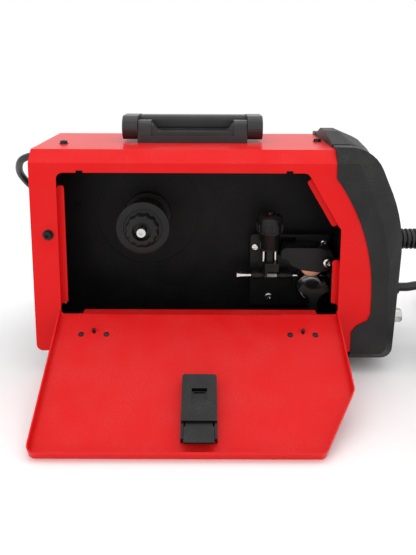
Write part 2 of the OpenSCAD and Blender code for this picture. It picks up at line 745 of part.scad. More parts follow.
arm_outline = [[299.5, 130], [306.5, 129.2], [313, 120.6], [325.3, 114.6], [346, 111.8], [357, 113.4],
    [364.6, 119.6], [365, 133.6], [362, 139.8], [346, 143.6], [299.5, 143.6]];
module pressure_arm() color("black") {
    difference() {
        side(46.2, 73.8) polygon(rounded(arm_outline, [2, 6, 6, 8, 8, 5, 3, 3, 2, 2, 6]));
        side(wire_y - 6.6, wire_y + 6.6) polygon([[322, 100], [358, 100], [358, 133.5], [322, 133.5]]);
        at(arm_pivot) rod_y(4 + running, 40, 80);
        block([290, 66.8, 100], [365.3, 68.2, 137]);
        translate([322, 0, 140]) block([0, 52, 0], [24, 68, 5]);
    }
    at(idler_at) rod_y(4, 45.6, 74.4);
}

module idler_roll() color("peru") at(idler_at) {
    ring_y(idler_r, 7, wire_y - 5.8, wire_y + 5.8);
    ring_y(7.1, 4 + running, wire_y - 6.2, wire_y + 6.2);
}

module tension_frame() color("dimgray") at(swing_at) {
    difference() {
        block([-6.5, wire_y - 10, -4.8], [11, wire_y + 10, 6]);
        rod_y(3 + running, 40, 80);
    }
    // foot beside the inlet guide
    block([-6.5, wire_y - 10, -12], [-3.5, wire_y - 4, -4.7]);
    translate([0, wire_y, 0]) {
        for (x = [-post_at, post_at]) translate([x, 0, 0]) rod_z(1.7, 5.9, yoke_z + 0.1);
        block([-3.6, -3.6, 5.9], [3.6, 3.6, yoke_z + 0.1]);
        block([-9, -5, yoke_z], [9, 5, yoke_z + 3.2]);
        rod_z(3, yoke_z + 3, 67.6);
    }
}

module tension_knob() color("black") at(swing_at) translate([0, wire_y, 0]) difference() {
    union() {
        rod_z(12.2, yoke_z + 3.6, 45.2);
        rotate_extrude() polygon(concat([[0, 45], [17.2, 45], [17.2, 47.4], [16, 48]],
            arc([7.8, 60.8], 8.2, 0, 90, 6), [[6, 69], [6, 66], [0, 66]]));
        for (k = [0 : 11]) rotate(k * 30) translate([16.4, 0, 0]) rod_z(1.1, 47, 57);
    }
    rod_z(3 + running, 20, 80);
}

// ---------- power side ----------
module power_electronics() {
    color("darkgreen") block([60, 118, 190], [300, 119.6, 250]);
    color("silver") {
        block([70, 124, 110], [190, 164, 114]);
        for (k = [0 : 9]) block([72 + k * 12.6, 124, 113.9], [74.4 + k * 12.6, 164, 168]);
        for (x = [75, 285], z = [195, 245]) at([x, z]) rod_y(3, divider_y + sheet, 118.2);
    }
    color("black") for (k = [0 : 3]) at([96 + k * 34, 222]) rod_y(14, 119.6, 160);
    color("gainsboro") for (x = [78, 178], z = [113]) block([x, 128, ground + sheet], [x + 4, 160, z - 2.9]);
    color("dimgray") difference() {
        block([210, 104, ground + sheet], [290, 164, 92]);
        block([226, 100, 46], [240, 168, 78]);
        block([260, 100, 46], [274, 168, 78]);
    }
    color("peru") difference() {
        block([222, 100, 46.4], [278, 167, 77.6]);
        block([240.1, 90, 40], [259.9, 170, 90]);
        block([226.2, 103.9, 40], [273.8, 164.1, 90]);
    }
}

module gas_inlet() color("goldenrod") translate([0, gas_y, gas_z]) difference() {
    union() {
        turned_x([[0, 0.4], [4, 0.4], [5, 2.4], [5, 5.4], [4, 6.4], [4, 9.4], [4.9, 9.4], [4.9, 26], [0, 26]]);
        rotate([0, 90, 0]) translate([0, 0, rear_inset - 4.1]) cylinder(r = 9, h = 4.1, $fn = 6);
        translate([rear_inset + sheet, 0, 0]) rotate([0, 90, 0]) cylinder(r = 9, h = 4, $fn = 6);
    }
    rod_x(2.5, -2, 40);
}

// ---------- leads ----------
// The points of a lead run through these in order, with its ends straight for one diameter
torch_route = [[503, 86, 144.2], [517, 86, 144.2], [548, 85, 134], [582, 82, 106], [614, 74, 70],
    [640, 59, 38], [653, 43, 24], [656, 33, 21.8]];
work_route = [[461.5, 86, 76.9], [473.5, 86, 76.9], [490, 87, 79], [508, 93, 75], [526, 107, 58],
    [538, 126, 36], [543, 143, 22], [543, 155, 18.8]];
mains_route = [[-16, 100, 250.6], [-26, 100, 250.6], [-41, 107, 243], [-50, 128, 224.6], [-46, 146, 206],
    [-35, 162, 188], [-14, 180, 156], [6, 186, 120], [26, 186.5, 82], [46, 184.5, 48], [66, 181.5, 24],
    [83, 180, 15.8]];
torch_tail_route = [[633.7, -66.6, 7.8], [623.2, -80.8, 10.6], [610.2, -92.6, 14], [595.5, -101.6, 16],
    [582.9, -107.7, 16]];
work_tail_route = [[686, 130, 6], [685, 95, 6], [684, 55, 6], [684, 10, 6], [684, -25, 6.6], [684, -60, 8],
    [684, -72, 8]];
mains_tail_route = [[32, 261, 8.2], [20, 249, 14.8], [8, 237, 18], [1, 230, 18]];

// Each coil: centre, radius of its outer turn, turns, start angle, direction
torch_wind = [[570, 5], 86, 3 + 20 / 360, 0, -1];
work_wind = [[615, 179], 72, 3.5, 180, -1];
mains_wind = [[103, 243], 63, 4.625, -90, 1];
rings_per_turn = 24;

function heading(a, way) = way * [-sin(a), cos(a), 0];
function coil_point(w, d, t) = let (pitch = d + coil_gap, a = w[3] + w[4] * 360 * t,
        r = w[1] - pitch * min(t, w[2] - t), climb = max(0, min(1, (t - w[2] / 2) * 2 + 0.5)))
    [w[0].x + r * cos(a), w[0].y + r * sin(a), d / 2 + pitch * (1 - climb)];
function coil_entry(w, d) = coil_point(w, d, 0) - d * heading(w[3], w[4]);
function coil_exit(w, d) = coil_point(w, d, w[2]) + d * heading(w[3] + w[4] * 360 * w[2], w[4]);
function coil_path(w, d) = let (steps = round(w[2] * rings_per_turn))
    concat([coil_entry(w, d)], [for (i = [0 : steps]) coil_point(w, d, w[2] * i / steps)], [coil_exit(w, d)]);

// A smooth curve through the points, with its first and last stretches straight
function bend(a, b, c, d, t) = 0.5 * (2 * b + (c - a) * t + (2 * a - 5 * b + 4 * c - d) * t * t
    + (3 * b - a - 3 * c + d) * t * t * t);
function smooth(p, n = 2) = concat([p[0]],
    [for (i = [1 : len(p) - 3], k = [0 : n - 1]) bend(p[i - 1], p[i], p[i + 1], p[i + 2], k / n)],
    [p[len(p) - 2], p[len(p) - 1]]);
function ring(c, dir, r, sides) = let (s = unit(cross(dir, [0, 0, 1])), u = cross(s, dir))
    [for (k = [0 : sides - 1]) c + r * (cos(360 * k / sides) * s + sin(360 * k / sides) * u)];
function direction(p, i) = unit(p[min(i + 1, len(p) - 1)] - p[max(i - 1, 0)]);

module tube(path, r, sides) {
    last = len(path) - 1;
    polyhedron(points = [for (i = [0 : last]) each ring(path[i], direction(path, i), r, sides)],
        faces = concat([[for (k = [sides - 1 : -1 : 0]) k]], [[for (k = [0 : sides - 1]) last * sides + k]],
            [for (i = [0 : last - 1], k = [0 : sides - 1]) let (a = i * sides, b = a + sides, j = (k + 1) % sides)
                each [[a + k, a + j, b + j], [a + k, b + j, b + k]]]));
}

function length_of(p) = len(p) < 2 ? 0 : [for (i = 1, sum = norm(p[1] - p[0]); i < len(p);
    i = i + 1, sum = sum + (i < len(p) ? norm(p[i] - p[i - 1]) : 0)) sum][len(p) - 2];
function gap_of(p, d) = min([for (i = [0 : len(p) - 1], j = [i + 9 : 1 : len(p) - 1]) norm(p[i] - p[j])]) - d;
function tail_path(w, d, route) = smooth(concat([coil_exit(w, d),
    coil_exit(w, d) + d * heading(w[3] + w[4] * 360 * w[2], w[4])], route));

torch_path = smooth(concat(torch_route, [coil_entry(torch_wind, torch_d)]));
work_path = smooth(concat(work_route, [coil_entry(work_wind, work_d)]));
mains_path = smooth(concat(mains_route, [coil_entry(mains_wind, mains_d)]));
module report(name, path, wind, d, route) echo(str(name, " length ",
    length_of(path) + length_of(coil_path(wind, d)) + length_of(tail_path(wind, d, route)),
    ", least gap in the coil ", gap_of(coil_path(wind, d), d)));
union() {
    report("torch lead", torch_path, torch_wind, torch_d, torch_tail_route);
    report("work lead", work_path, work_wind, work_d, work_tail_route);
    report("mains lead", mains_path, mains_wind, mains_d, mains_tail_route);
}

module torch_lead() color("black") tube(torch_path, torch_d / 2, 10);
module torch_coil() color("black") tube(coil_path(torch_wind, torch_d), torch_d / 2, 6);
module torch_tail() color("black") tube(tail_path(torch_wind, torch_d, torch_tail_route), torch_d / 2, 10);
module work_lead() color("black") tube(work_path, work_d / 2, 10);
module work_coil() color("black") tube(coil_path(work_wind, work_d), work_d / 2, 6);
module work_tail() color("black") tube(tail_path(work_wind, work_d, work_tail_route), work_d / 2, 10);
module mains_lead() color("black") tube(mains_path, mains_d / 2, 8);
module mains_coil() color("black") tube(coil_path(mains_wind, mains_d), mains_d / 2, 6);
module mains_tail() color("black") tube(tail_path(mains_wind, mains_d, mains_tail_route), mains_d / 2, 8);

// Turns a profile, given as radius and distance, round the X axis
module turned_x(profile) rotate([90, 0, 90]) rotate_extrude() polygon(profile);

module torch_relief() color("black") translate([0, lead_y, torch_z]) {
    translate([panel_x + 5, 0, 0]) turned_x([[0, 0], [19, 0], [20, 2], [20, 9], [17, 12], [0, 12]]);
    for (k = [0 : 10]) rod_x(13.5, panel_x + 16.9 + k * 5.8, panel_x + 20.5 + k * 5.8);
    rod_x(11, panel_x + 16, 503);
}

module work_plug() color("black") translate([0, lead_y, work_z]) {
    translate([panel_x + 5.1, 0, 0])
        turned_x([[0, 0], [15, 0], [16, 1.5], [16, 16], [14.5, 18], [11.5, 20], [9, 35.4], [0, 35.4]]);
    rod_x(6.6, 407, panel_x + 6);
}

module mains_gland() color("black") translate([rear_inset, gland_y, gland_z]) {
    rotate([0, 0, 180]) turned_x([[0, 0], [11, 0], [11, 5], [9.4, 6], [8, 8], [7.4, 11], [8, 11.5], [7.6, 14],
        [6.6, 14.5], [7.2, 17], [6.8, 19.5], [6, 20], [6.6, 23], [6.2, 25], [5.8, 28], [0, 28]]);
    rod_x(7, -1, 8);
    translate([sheet, 0, 0]) rotate([0, 90, 0]) cylinder(r = 11, h = 5, $fn = 6);
}

module mains_plug() color("black") translate([1, 230, 18]) rotate(-135) {
    turned_x([[0, 0], [6, 0], [7, 10], [8, 15], [16.5, 19], [18, 22], [18, 37], [17, 38], [0, 38]]);
    for (y = [-9.5, 9.5]) translate([0, y, 0]) rod_x(2.4, 37, 57);
}

// ---------- torch ----------
trigger_pin = [46, -12];
module on_gun() translate([582.9, -107.7, 16]) rotate(-154.2) children();

module torch_handle() color("black") on_gun() {
    difference() {
        turned_x([[0, 0], [9, 0], [10, 4], [14, 14], [16, 20], [16, 34], [15.2, 40], [15.2, 76], [13.5, 86],
            [12, 95], [0, 95]]);
        block([42, -20, -5], [76, -8.4, 5]);
    }
    translate(trigger_pin) rod_z(1.8, -6, 6);
}

module torch_trigger() color("black") on_gun() difference() {
    union() {
        block([43.4, -18.6, -4.6], [73, -13, 4.6]);
        translate(trigger_pin) rod_z(3.2, -4.6, 4.6);
    }
    translate(trigger_pin) rod_z(1.8 + running, -10, 10);
}

neck_bend = 50;
neck_r = 40;
module torch_neck() color("gold") on_gun() {
    translate([95, 0, 0]) turned_x([[0, 0], [9.5, 0], [9.5, 6], [7, 7], [0, 7]]);
    translate([101, -neck_r, 0]) rotate(90 - neck_bend) rotate_extrude(angle = neck_bend)
        translate([neck_r, 0]) circle(r = 6);
    translate([101 + neck_r * sin(neck_bend), -neck_r * (1 - cos(neck_bend)), 0]) rotate(-neck_bend) {
        difference() {
            turned_x([[0, -2], [7.5, -2], [8.5, 0], [8.5, 26], [7, 30], [0, 30]]);
            rod_x(5.6, 6, 40);
        }
        rod_x(3.2, 5, 27);
    }
}

// ---------- work clamp ----------
clamp_axis = -15.5;
clamp_pin = [52, clamp_axis];
module on_clamp() translate([684, -72, 8]) rotate(-90) children();

module clamp_half(middle) {
    rod_x(8, 0, 40);
    difference() {
        union() {
            translate([0, 0, -7]) linear_extrude(14) polygon([[34, -5], [44, -8], [50, clamp_axis + 0.3],
                [101, clamp_axis + 0.3], [103, clamp_axis + 3], [101, -5], [92, -4], [60, -5], [46, 2], [40, 6], [34, 6]]);
            translate(clamp_pin) rod_z(5, -7, 7);
        }
        translate(clamp_pin) {
            if (middle) for (z = [-8, 2.4]) rod_z(5.6, z, z + 5.6);
            else rod_z(5.6, -2.6, 2.6);
            rod_z(2 + running, -9, 9);
        }
    }
}
module work_clamp() color("gray") on_clamp() {
    clamp_half(false);
    translate(clamp_pin) {
        rod_z(2, -7.6, 7.6);
        rod_z(3.4, 7, 8.6);
    }
}
module clamp_lever() color("gray") on_clamp()
    translate([0, 2 * clamp_axis, 0]) mirror([0, 1, 0]) clamp_half(true);

// ---------- assembly ----------
module placed() translate(-org) children();

placed() base_pan();
placed() outer_cover();
placed() divider_panel();
placed() bay_front_wall();
placed() front_bezel();
placed() front_panel();
placed() display_lens();
placed() rear_panel();
placed() handle_base();
placed() handle_bail();
placed() handle_pins();
placed() rubber_feet();
placed() cover_screws();
placed() door_panel();
placed() door_hinges_fixed();
placed() door_hinges_moving();
placed() door_hinge_pins();
placed() door_rivets();
placed() latch_housing();
placed() latch_bolt();
placed() spool_axle();
placed() spool_hub();
placed() star_nut();
placed() feeder_plate();
placed() wire_guides();
placed() feed_motor();
placed() drive_roll();
placed() drive_knob();
placed() pressure_arm();
placed() idler_roll();
placed() tension_frame();
placed() tension_knob();
placed() fan_frame();
placed() fan_rotor();
placed() power_electronics();
placed() power_switch();
placed() voltage_knob();
placed() wire_speed_knob();
placed() gun_connector();
placed() mode_toggle();
placed() front_sockets();
placed() gas_inlet();
placed() mains_gland();
placed() mains_lead();
placed() mains_coil();
placed() mains_tail();
placed() mains_plug();
placed() torch_relief();
placed() torch_lead();
placed() torch_coil();
placed() torch_tail();
placed() torch_handle();
placed() torch_neck();
placed() torch_trigger();
placed() work_plug();
placed() work_lead();
placed() work_coil();
placed() work_tail();
placed() work_clamp();
placed() clamp_lever();
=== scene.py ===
"""Portable MIG welder with its side door open.

Finishes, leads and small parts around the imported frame."""

import math

import bmesh
import bpy
from bpy.props import FloatProperty, FloatVectorProperty, IntProperty, PointerProperty
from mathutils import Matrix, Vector


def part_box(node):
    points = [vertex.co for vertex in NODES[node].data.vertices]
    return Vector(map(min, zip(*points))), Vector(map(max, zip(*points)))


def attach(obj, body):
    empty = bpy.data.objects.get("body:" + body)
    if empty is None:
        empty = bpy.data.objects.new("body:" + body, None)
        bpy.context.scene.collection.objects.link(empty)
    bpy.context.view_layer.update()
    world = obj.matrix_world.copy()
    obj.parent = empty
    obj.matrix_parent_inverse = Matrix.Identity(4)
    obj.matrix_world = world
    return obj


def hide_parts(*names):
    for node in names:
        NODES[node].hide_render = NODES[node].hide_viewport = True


bl_info = {
    "name": "Portable MIG Welder",
    "version": (1, 0, 0),
    "blender": (4, 5, 0),
    "location": "3D View > Sidebar > Welder",
    "description": "Finishes, leads and fine details of a portable MIG welder",
    "category": "Object",
}

MM = 0.001
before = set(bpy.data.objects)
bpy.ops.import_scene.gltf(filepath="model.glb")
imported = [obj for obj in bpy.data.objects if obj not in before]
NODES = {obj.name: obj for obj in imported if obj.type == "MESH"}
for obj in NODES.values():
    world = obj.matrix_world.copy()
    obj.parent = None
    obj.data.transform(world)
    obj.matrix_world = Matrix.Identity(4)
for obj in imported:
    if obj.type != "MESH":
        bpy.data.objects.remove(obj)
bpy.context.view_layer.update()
# Rear near corner of the cover, at floor level: lengths below are measured from it
CORNER = Vector((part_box("outer_cover")[0][0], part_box("outer_cover")[0][1], 0.0))


def at(x, y, z):
    """The place that lies x, y and z millimetres from the corner."""
    return CORNER + Vector((x, y, z)) * MM


def box_mm(node):
    """The low and high corners of a part's box, in millimetres from the corner."""
    return [(Vector(end) - CORNER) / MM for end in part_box(node)]


def turned(offset, angle):
    """A plane offset turned by an angle in degrees."""
    u, v = offset
    a = math.radians(angle)
    return Vector((u * math.cos(a) - v * math.sin(a), u * math.sin(a) + v * math.cos(a)))


# ---------------------------------------------------------------- places on the machine

NEAR = Vector((0, -1, 0))
FAR = Vector((0, 1, 0))
UP = Vector((0, 0, 1))
FORWARD = Vector((1, 0, 0))

# Millimetres from the corner. Three numbers are X, Y and Z, and two are X and Z, unless
# the name ends with their axes
COVER_WIDTH, COVER_TOP_Z = box_mm("outer_cover")[1].yz
TOP_SCREWS_XY = ((28.5, 58), (346, 83))
SIDE_SCREW = (20, 174.2)
FEEDER_FACE_Y = 78
FEEDER_SCREWS = ((269, 134.6), (288, 66.6), (359, 140))
DRIVE_ROLL = (339.5, 87.6)
ARM_PIVOT = (357, 125.6)
ARM_PIVOT_END_Y = 41.1
WIRE_LINE_YZ = (60.0, 102.6)
WIRE_BORE_RADIUS = 1.2
GUIDE_COLLARS_X = ((262.5, 279.6), (296, 315), (360, 377))
TENSION_POSTS_X = (278.5, 293.5)
POST_SHOULDER_Z = 121.5
TENSION_ROD_X = 286
TENSION_ROD_TOP_Z = box_mm("tension_frame")[1].z
SPOOL_NUT_FACE = (128, 10, 175)
PANEL_FACE_X = box_mm("front_panel")[1].x
TORCH_SOCKET_YZ = (86, 144.2)
TORCH_SOCKET_RIM = 5
CONNECTOR_YZ = (30, 62.6)
CONNECTOR_PIN_X = 438.4

# The door lies folded down at this angle in degrees about its hinge line. Inward and up
# are measured from that line, and turn with the door
DOOR_ANGLE = 116.913
DOOR_HINGE_YZ = (-3.2, 75.0)
HINGE_LEAF_INWARD = 2
DOOR_FACE_INWARD = 4.7
DOOR_RIVETS_X = (61.4, 90.5, 301.5, 330.5)
DOOR_RIVETS_UP = 30
DOOR_STUDS_X = (76, 316.4)
DOOR_STUDS_UP = 27


def on_door(along, inward, up):
    """The place so far along the door, inward from its hinge line and up from that line."""
    offset = turned((inward, up), DOOR_ANGLE)
    return at(along, DOOR_HINGE_YZ[0] + offset[0], DOOR_HINGE_YZ[1] + offset[1])


def on_wire(x):
    """The place on the wire's straight line at this X."""
    return at(x, *WIRE_LINE_YZ)


# ---------------------------------------------------------------- settings

# What settings of one kind have in common
COLOUR = dict(subtype="COLOR", size=3, min=0, max=1)
RADIUS = dict(subtype="DISTANCE", unit="LENGTH", min=0.0001)
POWER = dict(subtype="POWER", unit="POWER", min=0, max=200)


class WelderColours(bpy.types.PropertyGroup):
    case_red: FloatVectorProperty(
        name="Case red",
        description="Powder coat of the cover and the door",
        default=(0.74, 0.008, 0.009),
        **COLOUR,
    )
    moulding_black: FloatVectorProperty(
        name="Moulding black",
        description="Plastic of the front moulding and the handle",
        default=(0.018, 0.018, 0.018),
        **COLOUR,
    )
    bay_black: FloatVectorProperty(
        name="Bay black",
        description="Matt paint inside the spool bay",
        default=(0.0045, 0.0040, 0.0040),
        **COLOUR,
    )
    lead_black: FloatVectorProperty(
        name="Lead black",
        description="Rubber jacket of the leads",
        default=(0.014, 0.014, 0.015),
        **COLOUR,
    )
    copper: FloatVectorProperty(
        name="Copper",
        description="Coating of the idler roll",
        default=(0.62, 0.30, 0.19),
        **COLOUR,
    )


class WelderFinish(bpy.types.PropertyGroup):
    paint_gloss: FloatProperty(
        name="Paint roughness",
        description="Roughness of the powder coat",
        subtype="FACTOR",
        min=0.05,
        max=1,
        default=0.30,
    )
    edge_radius: FloatProperty(
        name="Edge radius",
        description="Rounding of moulded edges",
        max=0.002,
        default=0.0008,
        **RADIUS,
    )
    fold_radius: FloatProperty(
        name="Fold radius",
        description="Rounding of sheet metal edges",
        max=0.001,
        default=0.0004,
        **RADIUS,
    )
    # Amount of the pale layer on faces that look up: dust, and painted highlight on the tops
    dust: FloatProperty(
        name="Dust",
        description="Amount of dust on faces that look up",
        subtype="FACTOR",
        min=0,
        max=1,
        default=0.12,
    )


class WelderLeads(bpy.types.PropertyGroup):
    facets: IntProperty(
        name="Lead facets",
        description="Sides of a lead's round section",
        min=8,
        max=48,
        default=20,
    )
    steps: IntProperty(
        name="Steps between points",
        description="Rings between two points of a lead's route",
        min=2,
        max=12,
        default=6,
    )
    turn_steps: IntProperty(
        name="Steps in a turn",
        description="Rings in one turn of a coil",
        min=24,
        max=96,
        default=60,
    )


class WelderStage(bpy.types.PropertyGroup):
    fill: FloatProperty(
        name="Fill",
        description="Strength of the even light from all round",
        min=0,
        max=3,
        default=1.03,
    )
    overhead: FloatProperty(
        name="Overhead light",
        description="Power of the soft light above",
        default=5.0,
        **POWER,
    )
    front: FloatProperty(
        name="Front light",
        description="Power of the soft light at the near side",
        default=1.0,
        **POWER,
    )


# ---------------------------------------------------------------- shader groups


def node_group(name, inputs, outputs):
    """An empty shader group with these sockets, and its input and output nodes."""
    group = bpy.data.node_groups.new(name, "ShaderNodeTree")
    for label, kind, value in inputs:
        socket = group.interface.new_socket(label, in_out="INPUT", socket_type="NodeSocket" + kind)
        socket.default_value = value
    for label, kind in outputs:
        group.interface.new_socket(label, in_out="OUTPUT", socket_type="NodeSocket" + kind)
    return group, group.nodes.new("NodeGroupInput"), group.nodes.new("NodeGroupOutput")


def add_math(group, operation, a, b=None, c=None, clamp=False):
    """A math node fed by sockets or numbers. Returns its output."""
    node = group.nodes.new("ShaderNodeMath")
    node.operation = operation
    node.use_clamp = clamp
    for k, value in enumerate((a, b, c)):
        if value is None:
            continue
        if isinstance(value, (int, float)):
            node.inputs[k].default_value = value
        else:
            group.links.new(value, node.inputs[k])
    return node.outputs[0]


def add_vector(group, operation, a, b=None):
    """A vector math node fed by sockets or by tuples. Returns the node."""
    node = group.nodes.new("ShaderNodeVectorMath")
    node.operation = operation
    for k, value in enumerate((a, b)):
        if isinstance(value, tuple):
            node.inputs[k].default_value = value
        elif value is not None:
            group.links.new(value, node.inputs[k])
    return node


def surface_place(group, stretch=(1, 1, 1)):
    """The place on the piece, stretched along its axes."""
    place = group.nodes.new("ShaderNodeTexCoord")
    return add_vector(group, "MULTIPLY", place.outputs["Object"], stretch).outputs[0]


def lay_over(tree, below, above, share):
    """A colour laid over the one below by this share. Returns its socket."""
    mix = tree.nodes.new("ShaderNodeMix")
    mix.data_type = "RGBA"
    tree.links.new(share, mix.inputs[0])
    tree.links.new(below, mix.inputs[6])
    if isinstance(above, tuple):
        mix.inputs[7].default_value = above
    else:
        tree.links.new(above, mix.inputs[7])
    return mix.outputs[2]


def add_noise(group, place, scale, detail=3.0):
    """A noise texture. Returns its value."""
    noise = group.nodes.new("ShaderNodeTexNoise")
    group.links.new(place, noise.inputs["Vector"])
    noise.inputs["Detail"].default_value = detail
    if isinstance(scale, (int, float)):
        noise.inputs["Scale"].default_value = scale
    else:
        group.links.new(scale, noise.inputs["Scale"])
    return noise.outputs["Fac"]


def tone_group():
    """Slow changes of a colour's tone over a piece."""
    group, given, out = node_group(
        "Tone Drift",
        [
            ("Colour", "Color", (0.5, 0.5, 0.5, 1)),
            ("Amount", "Float", 0.1),
            ("Scale", "Float", 20),
        ],
        [("Colour", "Color")],
    )
    noise = add_noise(group, surface_place(group), given.outputs["Scale"])
    centred = add_math(group, "SUBTRACT", noise, 0.5)
    factor = add_math(group, "MULTIPLY_ADD", centred, given.outputs["Amount"], 1.0)
    tint = group.nodes.new("ShaderNodeVectorMath")
    tint.operation = "SCALE"
    group.links.new(given.outputs["Colour"], tint.inputs[0])
    group.links.new(factor, tint.inputs["Scale"])
    group.links.new(tint.outputs[0], out.inputs["Colour"])
    return group


def dust_and_sheen_group():
    """A thin pale layer, thickest on faces that look up: partly dust, partly painted highlight on
    the tops.
    """
    group, given, out = node_group(
        "Dust and Top Sheen",
        [
            ("Colour", "Color", (0.5, 0.5, 0.5, 1)),
            # The pale colour laid on: dust, and painted highlight on the tops
            ("Dust", "Color", (0.42, 0.40, 0.37, 1)),
            ("Amount", "Float", 0.1),
        ],
        [("Colour", "Color")],
    )
    facing = group.nodes.new("ShaderNodeNewGeometry")
    split = group.nodes.new("ShaderNodeSeparateXYZ")
    group.links.new(facing.outputs["Normal"], split.inputs[0])
    # Upright faces keep a third of the pale layer, which is dust and painted top highlight, and
    # faces that look down none
    upward = add_math(group, "MULTIPLY_ADD", split.outputs["Z"], 0.6, 0.3, clamp=True)
    coarse = add_noise(group, surface_place(group), 34, detail=6)
    speck = add_noise(group, surface_place(group), 900, detail=2)
    patch = add_math(group, "MULTIPLY_ADD", coarse, 2.4, -0.8, clamp=True)
    grit = add_math(group, "MULTIPLY_ADD", speck, 3.0, -1.2, clamp=True)
    both = add_math(group, "MULTIPLY", patch, grit)
    mask = add_math(group, "MULTIPLY", both, upward)
    mask = add_math(group, "MULTIPLY", mask, given.outputs["Amount"])
    dusty = lay_over(group, given.outputs["Colour"], given.outputs["Dust"], mask)
    group.links.new(dusty, out.inputs["Colour"])
    return group


def grain_group():
    """Fine moulded or sprayed grain, as a height and as a change of roughness."""
    group, given, out = node_group(
        "Fine Grain",
        [
            ("Scale", "Float", 1500),
            ("Roughness", "Float", 0.4),
            ("Variation", "Float", 0.1),
        ],
        [("Height", "Float"), ("Roughness", "Float")],
    )
    place = surface_place(group)
    fine = add_noise(group, place, given.outputs["Scale"], detail=2)
    broad_scale = add_math(group, "MULTIPLY", given.outputs["Scale"], 0.02)
    broad = add_noise(group, place, broad_scale, detail=4)
    both = add_math(group, "MULTIPLY_ADD", broad, 0.35, fine)
    centred = add_math(group, "SUBTRACT", both, 0.67)
    variation, roughness = given.outputs["Variation"], given.outputs["Roughness"]
    rough = add_math(group, "MULTIPLY_ADD", centred, variation, roughness, clamp=True)
    group.links.new(fine, out.inputs["Height"])
    group.links.new(rough, out.inputs["Roughness"])
    return group


def scuff_group():
    """Short fine scratches and rubbed spots, as a mask."""
    group, given, out = node_group(
        "Scuffs",
        [("Amount", "Float", 0.2), ("Scale", "Float", 60)],
        [("Mask", "Float")],
    )
    total = None
    for stretch, shift in (((1, 9, 9), 0.0), ((9, 1, 4), 3.7)):
        place = surface_place(group, stretch)
        place = add_vector(group, "ADD", place, (shift, shift, shift)).outputs[0]
        noise = add_noise(group, place, given.outputs["Scale"], detail=5)
        line = add_math(group, "MULTIPLY_ADD", noise, 14.0, -9.2, clamp=True)
        total = line if total is None else add_math(group, "MAXIMUM", total, line)
    mask = add_math(group, "MULTIPLY", total, given.outputs["Amount"], clamp=True)
    group.links.new(mask, out.inputs["Mask"])
    return group


def turning_group():
    """Rings left by a lathe round an axis along Y, as a height."""
    group, given, out = node_group(
        "Turning Marks",
        [("Centre", "Vector", (0, 0, 0)), ("Pitch", "Float", 2500)],
        [("Height", "Float")],
    )
    place = group.nodes.new("ShaderNodeTexCoord")
    move = add_vector(group, "SUBTRACT", place.outputs["Object"], given.outputs["Centre"])
    flat = add_vector(group, "MULTIPLY", move.outputs[0], (1, 0, 1))
    length = add_vector(group, "LENGTH", flat.outputs[0])
    wave = add_math(group, "MULTIPLY", length.outputs["Value"], given.outputs["Pitch"])
    wave = add_math(group, "SINE", wave)
    group.links.new(wave, out.inputs["Height"])
    return group


GROUP_MAKERS = {
    "Tone Drift": tone_group,
    "Dust and Top Sheen": dust_and_sheen_group,
    "Fine Grain": grain_group,
    "Scuffs": scuff_group,
    "Turning Marks": turning_group,
}


def place_group(tree, name, **values):
    """A shared group's node in a material, with its own values."""
    node = tree.nodes.new("ShaderNodeGroup")
    node.node_tree = bpy.data.node_groups.get(name) or GROUP_MAKERS[name]()
    for label, value in values.items():
        node.inputs[label].default_value = value
    return node


# ---------------------------------------------------------------- materials


def make_finish(
    name,
    colour,
    roughness,
    metallic=0.0,
    coat=0.0,
    grain=(1500, 0.10),
    depth=(0.0, 0.0001),
    tone=(18, 0.12),
    dust=None,
    scuff=None,
    rings=None,
    specular=0.5,
):
    """A material made of the shared effects.

    grain is its scale and how far the roughness varies, depth the bump's strength and
    distance, tone the scale and amount of colour drift, scuff the amount, scale and
    colour of rubbed marks, and rings the centre and pitch of lathe marks."""
    made = bpy.data.materials.new(name)
    made.use_nodes = True
    tree = made.node_tree
    shader = tree.nodes["Principled BSDF"]
    shader.inputs["Metallic"].default_value = metallic
    shader.inputs["Specular IOR Level"].default_value = specular
    shader.inputs["Coat Weight"].default_value = coat
    shader.inputs["Coat Roughness"].default_value = 0.12
    drift = place_group(tree, "Tone Drift", Colour=(*colour, 1), Scale=tone[0], Amount=tone[1])
    surface = drift.outputs["Colour"]
    if scuff:
        marks = place_group(tree, "Scuffs", Amount=scuff[0], Scale=scuff[1])
        surface = lay_over(tree, surface, (*scuff[2], 1), marks.outputs["Mask"])
    # Lays dust and painted top highlight over the colour, on faces that look up
    amount = bpy.context.scene.welder_finish.dust if dust is None else dust
    if amount > 0:
        layer = place_group(tree, "Dust and Top Sheen", Amount=amount)
        tree.links.new(surface, layer.inputs["Colour"])
        surface = layer.outputs["Colour"]
    tree.links.new(surface, shader.inputs["Base Color"])
    texture = place_group(
        tree, "Fine Grain", Scale=grain[0], Roughness=roughness, Variation=grain[1]
    )
    tree.links.new(texture.outputs["Roughness"], shader.inputs["Roughness"])
    bump = tree.nodes.new("ShaderNodeBump")
    bump.inputs["Strength"].default_value = depth[0]
    bump.inputs["Distance"].default_value = depth[1]
    if rings:
        marks = place_group(tree, "Turning Marks", Centre=rings[0], Pitch=rings[1])
        tree.links.new(marks.outputs["Height"], bump.inputs["Height"])
    else:
        tree.links.new(texture.outputs["Height"], bump.inputs["Height"])
    tree.links.new(bump.outputs["Normal"], shader.inputs["Normal"])
    return made


